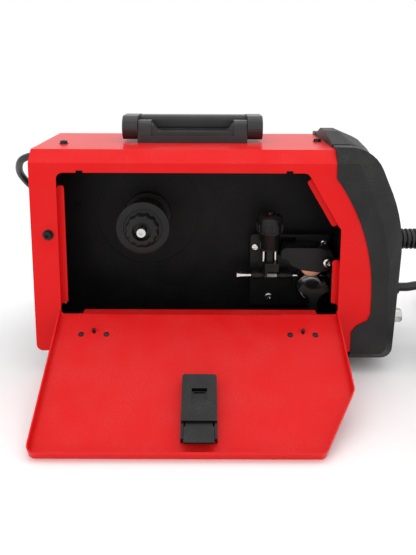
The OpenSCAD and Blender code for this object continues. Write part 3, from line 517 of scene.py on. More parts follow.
def finish_table():
    """Colour, roughness and effects of each finish on the machine."""
    colours = bpy.context.scene.welder_colours
    gloss = bpy.context.scene.welder_finish.paint_gloss

    def moulding_black(share):
        return tuple(share * c for c in colours.moulding_black)

    return {
        "Red powder coat": dict(
            colour=tuple(colours.case_red),
            roughness=gloss,
            specular=0.12,
            grain=(1300, 0.06),
            depth=(0.10, 0.00012),
            tone=(9, 0.10),
        ),
        "Bay paint": dict(
            colour=tuple(colours.bay_black),
            roughness=0.50,
            specular=0.16,
            grain=(2200, 0.12),
            depth=(0.22, 0.0001),
            tone=(12, 0.25),
            dust=0.10,
            scuff=(0.10, 30, (0.05, 0.05, 0.05)),
        ),
        "Grained moulding": dict(
            colour=moulding_black(0.8),
            roughness=0.46,
            specular=0.22,
            grain=(2400, 0.14),
            depth=(0.45, 0.00016),
            tone=(14, 0.16),
            # Raised so that the tops come out lighter: painted highlight, with a little dust
            dust=0.22,
            scuff=(0.12, 45, (0.06, 0.06, 0.06)),
        ),
        "Handle moulding": dict(
            colour=moulding_black(1.6),
            roughness=0.32,
            specular=0.32,
            grain=(2600, 0.12),
            depth=(0.35, 0.00014),
            tone=(16, 0.18),
            # Raised so that the tops come out lighter: painted highlight, with a little dust
            dust=0.18,
            scuff=(0.14, 60, (0.07, 0.07, 0.07)),
        ),
        "Black nylon": dict(
            colour=moulding_black(0.45),
            roughness=0.30,
            specular=0.24,
            grain=(3000, 0.12),
            depth=(0.25, 0.0001),
            tone=(30, 0.2),
            scuff=(0.10, 70, (0.05, 0.05, 0.05)),
        ),
        "Cast black": dict(
            colour=(0.006, 0.006, 0.006),
            roughness=0.36,
            specular=0.24,
            grain=(1400, 0.16),
            depth=(0.45, 0.0002),
            tone=(24, 0.25),
            scuff=(0.14, 80, (0.08, 0.075, 0.07)),
        ),
        "Soft rubber": dict(
            colour=(0.013, 0.013, 0.013),
            roughness=0.52,
            grain=(1800, 0.14),
            depth=(0.3, 0.00015),
            tone=(25, 0.2),
            dust=0.2,
        ),
        "Lead jacket": dict(
            colour=tuple(colours.lead_black),
            roughness=0.36,
            grain=(1200, 0.12),
            depth=(0.25, 0.00015),
            tone=(20, 0.18),
            dust=0.16,
        ),
        "Black oxide": dict(
            colour=(0.007, 0.007, 0.008),
            roughness=0.30,
            specular=0.3,
            grain=(1600, 0.16),
            depth=(0.2, 0.0001),
            tone=(40, 0.25),
            scuff=(0.18, 120, (0.09, 0.09, 0.09)),
        ),
        "Zinc plate": dict(
            colour=(0.62, 0.62, 0.60),
            roughness=0.30,
            metallic=1.0,
            grain=(2000, 0.2),
            depth=(0.15, 0.0001),
            tone=(60, 0.25),
            scuff=(0.4, 90, (0.32, 0.31, 0.29)),
            dust=0.03,
        ),
        "Bright steel": dict(
            colour=(0.70, 0.69, 0.67),
            roughness=0.18,
            metallic=1.0,
            grain=(1600, 0.14),
            depth=(0.10, 0.0001),
            tone=(50, 0.15),
            dust=0.02,
        ),
        "Turned steel": dict(
            colour=(0.78, 0.77, 0.75),
            roughness=0.36,
            metallic=0.6,
            grain=(1800, 0.14),
            depth=(0.35, 0.00004),
            tone=(50, 0.2),
            rings=(tuple(at(DRIVE_ROLL[0], 0, DRIVE_ROLL[1])), 9000),
            dust=0.02,
        ),
        "Copper coat": dict(
            colour=tuple(colours.copper),
            roughness=0.28,
            metallic=1.0,
            grain=(1800, 0.2),
            depth=(0.2, 0.00006),
            tone=(70, 0.3),
            scuff=(0.5, 120, (0.40, 0.26, 0.20)),
            dust=0.02,
        ),
        "Brass": dict(
            colour=(0.60, 0.42, 0.17),
            roughness=0.26,
            metallic=1.0,
            grain=(1800, 0.16),
            depth=(0.15, 0.00008),
            tone=(60, 0.2),
            dust=0.03,
        ),
        "Panel foil": dict(
            colour=(0.028, 0.030, 0.033),
            roughness=0.33,
            grain=(2600, 0.08),
            depth=(0.12, 0.00008),
            tone=(10, 0.08),
            dust=0.05,
        ),
        "Smoked window": dict(
            colour=(0.016, 0.006, 0.006),
            roughness=0.08,
            coat=0.5,
            grain=(900, 0.03),
            depth=(0.03, 0.0001),
            tone=(8, 0.1),
            dust=0.04,
        ),
        "Circuit board": dict(
            colour=(0.012, 0.085, 0.035),
            roughness=0.4,
            grain=(2000, 0.12),
            depth=(0.3, 0.0001),
            tone=(90, 0.4),
            dust=0.08,
        ),
        "Clear liner": dict(
            colour=(0.40, 0.39, 0.36),
            roughness=0.3,
            grain=(1600, 0.1),
            depth=(0.1, 0.0001),
            tone=(40, 0.15),
        ),
    }


def finish_named(name):
    """One of the machine's finishes, made the first time that it is asked for."""
    return bpy.data.materials.get(name) or make_finish(name, **finish_table()[name])


# ---------------------------------------------------------------- mesh tools


def new_piece(name, build, body, finish, smooth=35):
    """A mesh piece that rides on a body. build fills its bmesh.

    Edges that bend less than smooth, in degrees, are shaded smooth."""
    work = bmesh.new()
    build(work)
    bmesh.ops.recalc_face_normals(work, faces=work.faces)
    mesh = bpy.data.meshes.new(name)
    work.to_mesh(mesh)
    work.free()
    mesh.materials.append(finish_named(finish))
    piece = bpy.data.objects.new(name, mesh)
    bpy.context.scene.collection.objects.link(piece)
    for face in mesh.polygons:
        face.use_smooth = True
    mesh.set_sharp_from_angle(angle=math.radians(smooth))
    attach(piece, body)
    return piece


def dress(node, finish, radius):
    """Gives a carried-over part its finish, and rounds its edges."""
    part = NODES[node]
    part.data.materials.clear()
    part.data.materials.append(finish_named(finish))
    weld = part.modifiers.new("Joined corners", "WELD")
    weld.merge_threshold = 0.01 * MM
    cut = part.modifiers.new("Rounded edges", "BEVEL")
    cut.width = radius
    cut.segments = 2
    cut.limit_method = "ANGLE"
    cut.angle_limit = math.radians(40)
    cut.use_clamp_overlap = True


def bridge(work, a, b):
    """Joins two rings of the same size with faces."""
    n = len(a)
    for k in range(n):
        work.faces.new((a[k], a[(k + 1) % n], b[(k + 1) % n], b[k]))


def solid_of_rings(work, rings, closed=False):
    """A solid through rings of points. Its ends are capped, or joined if closed."""
    made = [[work.verts.new(p) for p in points] for points in rings]
    for a, b in zip(made, made[1:]):
        bridge(work, a, b)
    if closed:
        bridge(work, made[-1], made[0])
    else:
        work.faces.new(list(reversed(made[0])))
        work.faces.new(made[-1])


def ring_round(centre, side, up, radii):
    """Points evenly round a centre, one for each radius."""
    ring = []
    for k, radius in enumerate(radii):
        a = 2 * math.pi * k / len(radii)
        ring.append(centre + (side * math.cos(a) + up * math.sin(a)) * radius)
    return ring


def sweep(work, path, radius, sides):
    """A round tube along a path, without twist."""
    rings = []
    side = None
    for k, place in enumerate(path):
        ahead = (path[min(k + 1, len(path) - 1)] - path[max(k - 1, 0)]).normalized()
        if side is None:
            side = ahead.cross(UP).normalized()
        side = (side - ahead * side.dot(ahead)).normalized()
        up = side.cross(ahead)
        rings.append(ring_round(place, side, up, [radius] * sides))
    solid_of_rings(work, rings)


def lathe(work, centre, axis, profile, sides=48, wave=None):
    """A turned solid. profile lists radius and distance along axis, in millimetres.

    wave(angle, radius, distance) may change the radius, for ribs and lobes. A profile
    that comes back to its first point makes a ring with a bore."""
    axis = Vector(axis).normalized()
    side = axis.orthogonal().normalized()
    up = axis.cross(side)
    closed = profile[0] == profile[-1]
    angles = [2 * math.pi * k / sides for k in range(sides)]
    rings = []
    for r, d in profile[:-1] if closed else profile:
        radii = [(wave(a, r, d) if wave else r) * MM for a in angles]
        rings.append(ring_round(centre + axis * d * MM, side, up, radii))
    solid_of_rings(work, rings, closed)


# ---------------------------------------------------------------- leads

# Metres from the corner: the points that each lead runs through up to its coil, and from it
TORCH_ROUTE = (
    (0.503, 0.086, 0.1442),
    (0.517, 0.086, 0.1442),
    (0.548, 0.085, 0.134),
    (0.582, 0.082, 0.106),
    (0.614, 0.074, 0.070),
    (0.640, 0.059, 0.038),
    (0.653, 0.043, 0.024),
    (0.656, 0.033, 0.0218),
)
TORCH_TAIL = (
    (0.6337, -0.0666, 0.0078),
    (0.6232, -0.0808, 0.0106),
    (0.6102, -0.0926, 0.014),
    (0.5955, -0.1016, 0.016),
    (0.5829, -0.1077, 0.016),
)
WORK_ROUTE = (
    (0.4615, 0.086, 0.0769),
    (0.4735, 0.086, 0.0769),
    (0.490, 0.087, 0.079),
    (0.508, 0.093, 0.075),
    (0.526, 0.107, 0.058),
    (0.538, 0.126, 0.036),
    (0.543, 0.143, 0.022),
    (0.543, 0.155, 0.0188),
)
WORK_TAIL = (
    (0.686, 0.130, 0.006),
    (0.685, 0.095, 0.006),
    (0.684, 0.055, 0.006),
    (0.684, 0.010, 0.006),
    (0.684, -0.025, 0.0066),
    (0.684, -0.060, 0.008),
    (0.684, -0.072, 0.008),
)
MAINS_ROUTE = (
    (-0.016, 0.100, 0.2506),
    (-0.026, 0.100, 0.2506),
    (-0.041, 0.107, 0.243),
    (-0.050, 0.128, 0.2246),
    (-0.046, 0.146, 0.206),
    (-0.035, 0.162, 0.188),
    (-0.014, 0.180, 0.156),
    (0.006, 0.186, 0.120),
    (0.026, 0.1865, 0.082),
    (0.046, 0.1845, 0.048),
    (0.066, 0.1815, 0.024),
    (0.083, 0.180, 0.0158),
)
MAINS_TAIL = (
    (0.032, 0.261, 0.0082),
    (0.020, 0.249, 0.0148),
    (0.008, 0.237, 0.018),
    (0.001, 0.230, 0.018),
)
# Free space between a coil's turns, side by side and one above the other
TURN_GAP = 0.0008
# The jacket's radius is drawn this much under the lead's own, so that turns don't touch
JACKET_FIT = 0.0002


class Coil:
    """A lead wound on the floor: inwards in an upper layer, then outwards below it.

    It starts at an angle in degrees, and way is 1 if it turns anticlockwise, or else -1."""

    def __init__(self, centre, radius, turns, start, way, diameter):
        self.centre = Vector(centre)
        self.radius, self.turns = radius, turns
        self.start, self.way = start, way
        self.diameter = diameter

    def angle(self, turn):
        """The angle round the centre, after so many turns."""
        return self.start + self.way * 360 * turn

    def heading(self, turn):
        """The direction in which the lead runs there."""
        a = math.radians(self.angle(turn))
        return self.way * Vector((-math.sin(a), math.cos(a), 0))

    def point(self, turn):
        """A place on the lead's centre line."""
        pitch = self.diameter + TURN_GAP
        a = math.radians(self.angle(turn))
        r = self.radius - pitch * min(turn, self.turns - turn)
        drop = max(0.0, min(1.0, (turn - self.turns / 2) * 2 + 0.5))
        return Vector(
            (
                self.centre.x + r * math.cos(a),
                self.centre.y + r * math.sin(a),
                self.diameter / 2 + pitch * (1 - drop),
            )
        )

    def entry(self):
        """The place one diameter before the first turn."""
        return self.point(0) - self.diameter * self.heading(0)

    def leave(self, diameters):
        """The place so many diameters straight on from the last turn."""
        ahead = self.heading(self.turns)
        return self.point(self.turns) + diameters * self.diameter * ahead

    def path(self, turn_steps):
        """The coil's centre line, with a short straight stretch at both ends."""
        steps = round(self.turns * turn_steps)
        inner = [self.point(self.turns * k / steps) for k in range(steps + 1)]
        return [self.entry(), *inner, self.leave(1)]


def smooth_route(points, steps):
    """A smooth curve through the points, with its first and last stretches straight."""
    path = [points[0]]
    for a, b, c, d in zip(points, points[1:], points[2:], points[3:]):
        for k in range(steps):
            t = k / steps
            path.append(
                0.5
                * (
                    2 * b
                    + (c - a) * t
                    + (2 * a - 5 * b + 4 * c - d) * t * t
                    + (3 * b - a - 3 * c + d) * t * t * t
                )
            )
    return [*path, points[-2], points[-1]]


def lead_path(route, coil, tail):
    """The whole centre line of a lead, from its exit to its far end."""
    leads = bpy.context.scene.welder_leads
    run = [Vector(p) for p in route] + [coil.entry()]
    end = [coil.leave(1), coil.leave(2)] + [Vector(p) for p in tail]
    path = smooth_route(run, leads.steps)
    path += coil.path(leads.turn_steps)[1:]
    path += smooth_route(end, leads.steps)[1:]
    return [CORNER + p for p in path]


def make_lead(name, route, coil, tail, nodes):
    """A lead as one smooth tube, standing for its three stiff stretches."""
    path = lead_path(route, coil, tail)
    facets = bpy.context.scene.welder_leads.facets
    lead = new_piece(
        name,
        lambda work: sweep(work, path, coil.diameter / 2 - JACKET_FIT, facets),
        "case",
        "Lead jacket",
        smooth=60,
    )
    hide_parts(*nodes)


class WELDER_OT_leads(bpy.types.Operator):
    """Torch, work and mains leads"""

    bl_idname = "welder.leads"
    bl_label = "Leads"

    def execute(self, context):
        make_lead(
            "torch_hose",
            TORCH_ROUTE,
            Coil((0.570, 0.005), 0.086, 3 + 20 / 360, 0, -1, 0.014),
            TORCH_TAIL,
            ("torch_lead", "torch_coil", "torch_tail"),
        )
        make_lead(
            "work_cable",
            WORK_ROUTE,
            Coil((0.615, 0.179), 0.072, 3.5, 180, -1, 0.012),
            WORK_TAIL,
            ("work_lead", "work_coil", "work_tail"),
        )
        make_lead(
            "mains_cable",
            MAINS_ROUTE,
            Coil((0.103, 0.243), 0.063, 4.625, -90, 1, 0.010),
            MAINS_TAIL,
            ("mains_lead", "mains_coil", "mains_tail"),
        )
        return {"FINISHED"}


# ---------------------------------------------------------------- small parts


def hexagon(reach):
    """Makes the rings inside reach six-sided, for a key socket."""

    def radius(angle, r, d):
        if r > reach:
            return r
        sixth = math.pi / 3
        return r * math.cos(sixth / 2) / math.cos(angle % sixth - sixth / 2)

    return radius


def cross(reach, half_width):
    """Makes the rings inside reach cross-shaped, for a screwdriver."""

    def radius(angle, r, d):
        if r > reach:
            return r
        off = abs((angle + math.pi / 4) % (math.pi / 2) - math.pi / 4)
        return min(r, half_width / max(math.sin(off), 0.001))

    return radius


def knurl(teeth, depth, first, last):
    """Teeth round the rings that lie from first to last along the axis."""

    def radius(angle, r, d):
        if first <= d <= last:
            return r - depth * (0.5 + 0.5 * math.cos(teeth * angle))
        return r

    return radius


def socket_screw(work, place, axis, r, h):
    """A round head with a six-sided key socket."""
    head = [(r, 0), (r, 0.80 * h), (r - 0.12 * h, h), (0.56 * r, h)]
    socket = [(0.52 * r, 0.94 * h), (0.52 * r, 0.40 * h)]
    lathe(work, place, axis, head + socket, 48, hexagon(0.57 * r))


def cross_screw(work, place, axis, r, h):
    """A domed head with a cross recess."""
    dome = [(r, 0), (r, 0.45 * h), (0.93 * r, 0.72 * h), (0.78 * r, 0.92 * h)]
    recess = [(0.62 * r, h), (0.56 * r, 0.96 * h), (0.30 * r, 0.25 * h)]
    lathe(work, place, axis, dome + recess, 64, cross(0.57 * r, 0.11 * r))


def case_screws(work):
    """Key screws: two on washers on the top, and one in a cup washer on each side."""
    washer = [(5.6, 0), (5.6, 0.6), (5.2, 0.9), (3, 0.9)]
    for x, y in TOP_SCREWS_XY:
        lathe(work, at(x, y, COVER_TOP_Z), UP, washer)
        socket_screw(work, at(x, y, COVER_TOP_Z + 0.8), UP, 4.5, 3)
    cup = [(6.45, 0), (6.45, 0.8), (6.05, 1.2), (5, 1.2), (5, 0.9), (3, 0.9)]
    for y, axis in ((0, NEAR), (COVER_WIDTH, FAR)):
        place = at(SIDE_SCREW[0], y, SIDE_SCREW[1])
        lathe(work, place, axis, cup)
        socket_screw(work, place + axis * 0.9 * MM, axis, 4.6, 4)


def feeder_screws(work):
    """Cross screws that hold the cast plate of the wire drive."""
    for x, z in FEEDER_SCREWS:
        cross_screw(work, at(x, FEEDER_FACE_Y, z), NEAR, 5, 2.4)


def arm_screw(work):
    """The cross screw on the end of the pressure arm's pivot."""
    cross_screw(work, at(ARM_PIVOT[0], ARM_PIVOT_END_Y, ARM_PIVOT[1]), NEAR, 5.8, 1.6)


def lobed_nut(work):
    """The nut that holds the spool: a grip with twelve soft lobes on a ridged flange."""
    grip = [(11.5, 0), (15.2, 0), (17.6, 0.5), (19.2, 1.8), (19.8, 4), (19.8, 14.2)]
    flange = [(23, 14.9), (23.6, 14.4), (30.6, 14.4), (32.3, 15), (32.75, 16), (32.75, 18.4)]
    back = [(32.2, 19), (18.8, 19), (18.8, 26), (5.5, 26), (5.5, 9), (11.5, 9), (11.5, 0)]

    def lobes(angle, r, d):
        return r + 0.9 * math.cos(12 * angle) if 15 < r < 20 and d < 15 else r

    lathe(work, at(*SPOOL_NUT_FACE), FAR, grip + flange + back, 144, lobes)


def guide_tube(work, first, last, r, edge=0.5):
    """A wire guide: a tube with a small bore and chamfered ends."""
    n = last - first
    bore = WIRE_BORE_RADIUS
    profile = [(bore, 0), (r - edge, 0), (r, edge), (r, n - edge), (r - edge, n)]
    profile += [(bore, n), (bore, 0)]
    lathe(work, on_wire(first), FORWARD, profile, 32)


def bright_guides(work):
    """The inlet funnel, and the tips on both sides of the drive roll."""
    funnel = [(5, 0), (5.6, -0.3), (6, 0.2), (5.6, 2), (4.4, 5), (3.6, 8), (2.9, 13)]
    funnel += [(2.9, 18.5), (WIRE_BORE_RADIUS, 18.5), (WIRE_BORE_RADIUS, 7), (5, 0)]
    lathe(work, on_wire(244.3), FORWARD, funnel, 40)
    before, after = GUIDE_COLLARS_X[1][1], GUIDE_COLLARS_X[2][0]
    guide_tube(work, before, before + 8, 2.6, 1.2)
    guide_tube(work, after - 9, after, 2.2, 0.9)


def guide_collars(work):
    """Sleeves that hold the guides in the bosses of the cast plate."""
    for first, last in GUIDE_COLLARS_X:
        guide_tube(work, first, last, 3.4)


def inlet_liner(work):
    """The liner between the first two collars."""
    guide_tube(work, GUIDE_COLLARS_X[0][1], GUIDE_COLLARS_X[1][0], 2.4, 0.2)


def torch_liner(work):
    """The liner that leads the wire from the last collar to the torch socket."""
    start, end = on_wire(GUIDE_COLLARS_X[2][1]), at(378, *TORCH_SOCKET_YZ)
    ahead = (end - start).normalized()
    run = (end - start).length
    sweep(work, [start - ahead * MM, start + ahead * (run - 12 * MM)], 2.9 * MM, 24)


def post_sleeves(work):
    """Bright sleeves on the two posts of the tension frame."""
    sleeve = [(1.5, 0), (1.9, 0.3), (1.9, 14.2), (1.6, 14.4)]
    for x in TENSION_POSTS_X:
        lathe(work, at(x, WIRE_LINE_YZ[0], POST_SHOULDER_Z), UP, sleeve)


def tension_screw(work):
    """The key screw in the end of the tension rod."""
    cap = [(2.9, 0), (2.9, 0.5), (2.5, 0.9), (1.3, 0.9), (1.2, 0.3)]
    place = at(TENSION_ROD_X, WIRE_LINE_YZ[0], TENSION_ROD_TOP_Z)
    lathe(work, place, UP, cap, 40, hexagon(1.35))


def door_fixings(work):
    """Hinge rivets with a head on both sides of the door, and a stud between each pair."""
    normal = on_door(0, 1, 0) - on_door(0, 0, 0)
    dome = [(3.2, 0), (3.15, 0.5), (2.8, 1.0), (2.1, 1.4), (1.1, 1.58), (0.3, 1.6)]
    tail = [(2.8, -1.1), (2.8, 0)]
    for x in DOOR_RIVETS_X:
        lathe(work, on_door(x, DOOR_FACE_INWARD, DOOR_RIVETS_UP), normal, dome, 40)
        lathe(work, on_door(x, HINGE_LEAF_INWARD, DOOR_RIVETS_UP), normal, tail, 32)
    stud = [(2.1, 0.2), (2.1, 5.2), (1.8, 5.9), (1.0, 6.2)]
    for x in DOOR_STUDS_X:
        lathe(work, on_door(x, DOOR_FACE_INWARD, DOOR_STUDS_UP), normal, stud, 32)


def door_bosses(work):
    """The pressed bosses that the studs stand on."""
    normal = on_door(0, 1, 0) - on_door(0, 0, 0)
    boss = [(6.2, -0.2), (5.9, 0.2), (5.0, 0.6), (3.6, 0.8), (2.2, 0.8)]
    for x in DOOR_STUDS_X:
        lathe(work, on_door(x, DOOR_FACE_INWARD, DOOR_STUDS_UP), normal, boss, 48)


def relief_boot(work):
    """The torch relief: a grip nut and a boot with ribs and side slots."""
    place = at(PANEL_FACE_X + TORCH_SOCKET_RIM, *TORCH_SOCKET_YZ)
    nut = [(15, 0.1), (18.6, 0.1), (19, 0.6), (20, 2), (20, 9), (18.4, 11), (13, 11.9)]
    lathe(work, place, FORWARD, nut, 144, knurl(24, 0.45, 2, 9))
    boot = [(10, 11)]
    ribs, pitch = 11, 5.8
    for k in range(ribs):
        d = 11.9 + pitch * k
        boot += [(10.9, d), (12.9, d + 0.25), (13.4, d + 0.9), (13.4, d + 2.7)]
        boot += [(12.9, d + 3.4), (10.9, d + 3.6)]
    boot.append((10.6, 77))

    def slots(angle, r, d):
        return r - 2.2 * max(0.0, math.cos(2 * angle)) ** 0.5 if 10.8 < r < 11 else r

    lathe(work, place, FORWARD, boot, 72, slots)


def connector_shell(work):
    """The flange and the knurled barrel of the control connector."""
    flange = [(6.5, 0.1), (9.6, 0.1), (9.8, 0.5), (9.8, 2.6), (9.4, 3), (8.5, 3), (8.5, 5)]
    barrel = [(8.7, 5.6), (8.7, 24.6), (8.3, 26.2), (7.6, 27), (6.5, 27), (6.5, 0.1)]
    place = at(PANEL_FACE_X, *CONNECTOR_YZ)
    lathe(work, place, FORWARD, flange + barrel, 144, knurl(36, 0.35, 9, 21))


def connector_core(work):
    """The insulating core that fills the barrel."""
    place = at(PANEL_FACE_X, *CONNECTOR_YZ)
    lathe(work, place, FORWARD, [(6.45, 4), (6.45, 18.4), (1.5, 18.6)], 40)


def connector_pins(work):
    """Five contact pins in a ring."""
    for k in range(5):
        offset = turned((0, 4), 72 * k)
        place = at(CONNECTOR_PIN_X, CONNECTOR_YZ[0] + offset[0], CONNECTOR_YZ[1] + offset[1])
        lathe(work, place, FORWARD, [(0.9, 0), (0.9, 6), (0.5, 6.8)], 20)


# Name, maker, body, finish, material slot and the parts that each piece stands for
SMALL_PARTS = (
    ("case_screws", case_screws, "case", "Black oxide", "zinc", ("cover_screws",)),
    ("feeder_screws", feeder_screws, "case", "Bright steel", "zinc", ("cover_screws",)),
    ("arm_screw", arm_screw, "case", "Bright steel", "zinc", ()),
    ("bright_guides", bright_guides, "case", "Bright steel", "bright_steel", ("wire_guides",)),
    ("guide_collars", guide_collars, "case", "Black nylon", "black_plastic", ("wire_guides",)),
    ("inlet_liner", inlet_liner, "case", "Clear liner", "black_plastic", ("wire_guides",)),
    ("torch_liner", torch_liner, "case", "Clear liner", "black_plastic", ("wire_guides",)),
    ("lobed_nut", lobed_nut, "hub", "Black nylon", "black_plastic", ("star_nut",)),
    ("post_sleeves", post_sleeves, "tensioner", "Bright steel", "bright_steel", ()),
    ("tension_screw", tension_screw, "tensioner", "Bright steel", "bright_steel", ()),
    ("door_fixings", door_fixings, "door", "Black oxide", "black_plastic", ("door_rivets",)),
    ("door_bosses", door_bosses, "door", "Red powder coat", "red_paint", ()),
    ("relief_boot", relief_boot, "case", "Soft rubber", "rubber", ("torch_relief",)),
    ("connector_shell", connector_shell, "case", "Zinc plate", "bright_steel", ("gun_connector",)),
    ("connector_core", connector_core, "case", "Black nylon", "black_plastic", ("gun_connector",)),
    ("connector_pins", connector_pins, "case", "Bright steel", "bright_steel", ("gun_connector",)),
)


class WELDER_OT_small_parts(bpy.types.Operator):
    """Screws, wire guides, door fixings, torch boot and control connector"""

    bl_idname = "welder.small_parts"
    bl_label = "Small parts"

    def execute(self, context):
        for name, build, body, finish, slot, nodes in SMALL_PARTS:
            piece = new_piece(name, build, body, finish)
            if nodes:
                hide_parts(*nodes)
        return {"FINISHED"}


# ---------------------------------------------------------------- carried-over parts

SHEET_PARTS = {
    "outer_cover": "Red powder coat",
    "door_panel": "Red powder coat",
    "base_pan": "Bay paint",
    "divider_panel": "Bay paint",
    "bay_front_wall": "Bay paint",
    "rear_panel": "Bay paint",
}
MOULDED_PARTS = {
    "front_bezel": "Grained moulding",
    "front_panel": "Panel foil",
    "handle_base": "Handle moulding",
    "handle_bail": "Handle moulding",
    "rubber_feet": "Soft rubber",
    "latch_housing": "Black nylon",
    "latch_bolt": "Black nylon",
    "power_switch": "Black nylon",
    "voltage_knob": "Black nylon",
    "wire_speed_knob": "Black nylon",
    "front_sockets": "Black nylon",
    "fan_frame": "Black nylon",
    "fan_rotor": "Black nylon",
    "mains_gland": "Black nylon",
    "mains_plug": "Soft rubber",
    "work_plug": "Soft rubber",
    "torch_handle": "Handle moulding",
    "torch_trigger": "Black nylon",
    "mode_toggle": "Black nylon",
    "display_lens": "Smoked window",
}
# Mouldings whose edges are rounded twice as far
SOFT_EDGED = ("handle_base", "handle_bail", "front_bezel")
METAL_PARTS = {
    "handle_pins": "Cast black",
    "door_hinges_fixed": "Red powder coat",
    "door_hinges_moving": "Red powder coat",
    "door_hinge_pins": "Zinc plate",
    "spool_axle": "Zinc plate",
    "spool_hub": "Black nylon",
    "feeder_plate": "Cast black",
    "feed_motor": "Cast black",
    "drive_roll": "Turned steel",
    "drive_knob": "Black nylon",
    "pressure_arm": "Cast black",
    "idler_roll": "Copper coat",
    "tension_frame": "Cast black",
    "tension_knob": "Black nylon",
    "power_electronics": "Circuit board",
    "gas_inlet": "Brass",
    "torch_neck": "Brass",
    "work_clamp": "Zinc plate",
    "clamp_lever": "Zinc plate",
}


class WELDER_OT_sheet_metal(bpy.types.Operator):
    """Paint on the cover, the door and the inner walls"""

    bl_idname = "welder.sheet_metal"
    bl_label = "Sheet metal"

    def execute(self, context):
        fold = context.scene.welder_finish.fold_radius
        for node, finish in SHEET_PARTS.items():
            dress(node, finish, fold)
        return {"FINISHED"}


class WELDER_OT_mouldings(bpy.types.Operator):
    """Finishes of the plastic and rubber parts"""

    bl_idname = "welder.mouldings"
    bl_label = "Mouldings"

    def execute(self, context):
        edge = context.scene.welder_finish.edge_radius
        for node, finish in MOULDED_PARTS.items():
            dress(node, finish, 2 * edge if node in SOFT_EDGED else edge)
        return {"FINISHED"}


class WELDER_OT_metal_parts(bpy.types.Operator):
    """Finishes of the turned, cast and plated parts"""

    bl_idname = "welder.metal_parts"
    bl_label = "Metal parts"

    def execute(self, context):
        fold = context.scene.welder_finish.fold_radius
        for node, finish in METAL_PARTS.items():
            dress(node, finish, fold)
        return {"FINISHED"}


# ---------------------------------------------------------------- stage

FLOOR_SIZE = 12
FLOOR_COLOUR = (0.97, 0.97, 0.97)
SENSOR_WIDTH = 36
FOCAL_LENGTH = 38.59
# How far the picture is shifted off the lens's axis, in shares of the sensor's width
PICTURE_SHIFT = (0.0054, -0.2076)
# The camera's place in millimetres from the corner, and its angles in degrees
CAMERA_PLACE = (203, -669.3, 381.5)
CAMERA_DOWN = 10.2
CAMERA_ROLL = 0.2


def soft_light(name, power, width, depth, place, target):
    """An even rectangular light at a place, pointed at a target."""
    lamp = bpy.data.lights.new(name, "AREA")
    lamp.shape = "RECTANGLE"
    lamp.size, lamp.size_y = width, depth
    lamp.energy = power
    holder = bpy.data.objects.new(name, lamp)
    bpy.context.scene.collection.objects.link(holder)
    holder.location = place
    aim = Vector(target) - Vector(place)
    holder.rotation_euler = aim.to_track_quat("-Z", "Y").to_euler()


def pale_floor():
    """A matt floor, nearly white, that belongs to the stage."""
    bpy.ops.mesh.primitive_plane_add(size=FLOOR_SIZE, location=(0, 0, 0))
    floor = bpy.context.object
    floor.name = "studio_floor"
    pale = bpy.data.materials.new("Pale floor")
    pale.use_nodes = True
    shader = pale.node_tree.nodes["Principled BSDF"]
    shader.inputs["Base Color"].default_value = (*FLOOR_COLOUR, 1)
    shader.inputs["Roughness"].default_value = 0.9
    shader.inputs["Specular IOR Level"].default_value = 0.0
    floor.data.materials.append(pale)


def white_sky(strength):
    """A sky that looks white, but lights the scene with this strength only."""
    world = bpy.data.worlds.new("Studio")
    bpy.context.scene.world = world
    world.use_nodes = True
    tree = world.node_tree
    tree.nodes.clear()
    fill = tree.nodes.new("ShaderNodeBackground")
    fill.inputs["Strength"].default_value = strength
    white = tree.nodes.new("ShaderNodeBackground")
    for sky in (fill, white):
        sky.inputs["Color"].default_value = (1, 1, 1, 1)
    ray = tree.nodes.new("ShaderNodeLightPath")
    seen = add_math(tree, "MAXIMUM", ray.outputs["Is Camera Ray"], ray.outputs["Is Glossy Ray"])
    seen = add_math(tree, "MAXIMUM", seen, ray.outputs["Is Transmission Ray"])
    mix = tree.nodes.new("ShaderNodeMixShader")
    out = tree.nodes.new("ShaderNodeOutputWorld")
    tree.links.new(seen, mix.inputs[0])
    tree.links.new(fill.outputs[0], mix.inputs[1])
    tree.links.new(white.outputs[0], mix.inputs[2])
    tree.links.new(mix.outputs[0], out.inputs[0])


def front_camera():
    """The camera on the near side, a little above the machine and looking down at it."""
    lens = bpy.data.cameras.new("camera")
    lens.sensor_width, lens.lens = SENSOR_WIDTH, FOCAL_LENGTH
    lens.shift_x, lens.shift_y = PICTURE_SHIFT
    lens.clip_start = 10 * MM
    holder = bpy.data.objects.new("camera", lens)
    bpy.context.scene.collection.objects.link(holder)
    holder.location = at(*CAMERA_PLACE)
    holder.rotation_euler = (math.radians(90 - CAMERA_DOWN), 0, 0)
    holder.rotation_euler.rotate_axis("Z", math.radians(CAMERA_ROLL))
    bpy.context.scene.camera = holder


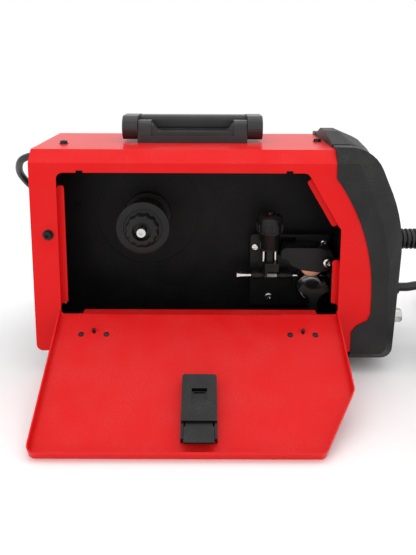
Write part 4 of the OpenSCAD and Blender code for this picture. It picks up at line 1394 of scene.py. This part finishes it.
class WELDER_OT_stage(bpy.types.Operator):
    """Pale floor, soft lights, white background and the camera"""

    bl_idname = "welder.stage"
    bl_label = "Stage"

    def execute(self, context):
        setting = context.scene.welder_stage
        pale_floor()
        soft_light("overhead_light", setting.overhead, 1.6, 1.2, (0, 0.1, 1.5), (0, 0.05, 0))
        soft_light("front_light", setting.front, 1.6, 1.0, (-0.5, -1.7, 1.1), (0, 0, 0.12))
        white_sky(setting.fill)
        front_camera()
        context.scene.view_settings.view_transform = "Standard"
        return {"FINISHED"}


# ---------------------------------------------------------------- panel

PIECE_OPERATORS = (
    WELDER_OT_sheet_metal,
    WELDER_OT_mouldings,
    WELDER_OT_metal_parts,
    WELDER_OT_small_parts,
    WELDER_OT_leads,
)


class WELDER_PT_sidebar(bpy.types.Panel):
    """Pieces and settings of the welder"""

    bl_label = "Welder"
    bl_idname = "WELDER_PT_sidebar"
    bl_space_type = "VIEW_3D"
    bl_region_type = "UI"
    bl_category = "Welder"

    def draw(self, context):
        layout = self.layout
        for settings in SETTINGS:
            box = layout.box()
            group = getattr(context.scene, settings)
            for key in group.__annotations__:
                box.prop(group, key)
        for operator in (WELDER_OT_stage, *PIECE_OPERATORS):
            layout.operator(operator.bl_idname)


SETTINGS = {
    "welder_colours": WelderColours,
    "welder_finish": WelderFinish,
    "welder_leads": WelderLeads,
    "welder_stage": WelderStage,
}
CLASSES = (
    *SETTINGS.values(),
    WELDER_OT_stage,
    *PIECE_OPERATORS,
    WELDER_PT_sidebar,
)


def register():
    for made in CLASSES:
        bpy.utils.register_class(made)
    for name, group in SETTINGS.items():
        setattr(bpy.types.Scene, name, PointerProperty(type=group))


def unregister():
    for name in SETTINGS:
        delattr(bpy.types.Scene, name)
    for made in reversed(CLASSES):
        bpy.utils.unregister_class(made)


def main():
    register()
    bpy.ops.welder.stage()
    bpy.ops.welder.sheet_metal()
    bpy.ops.welder.mouldings()
    bpy.ops.welder.metal_parts()
    bpy.ops.welder.small_parts()
    bpy.ops.welder.leads()
    bpy.context.view_layer.update()


if __name__ == "__main__":
    main()
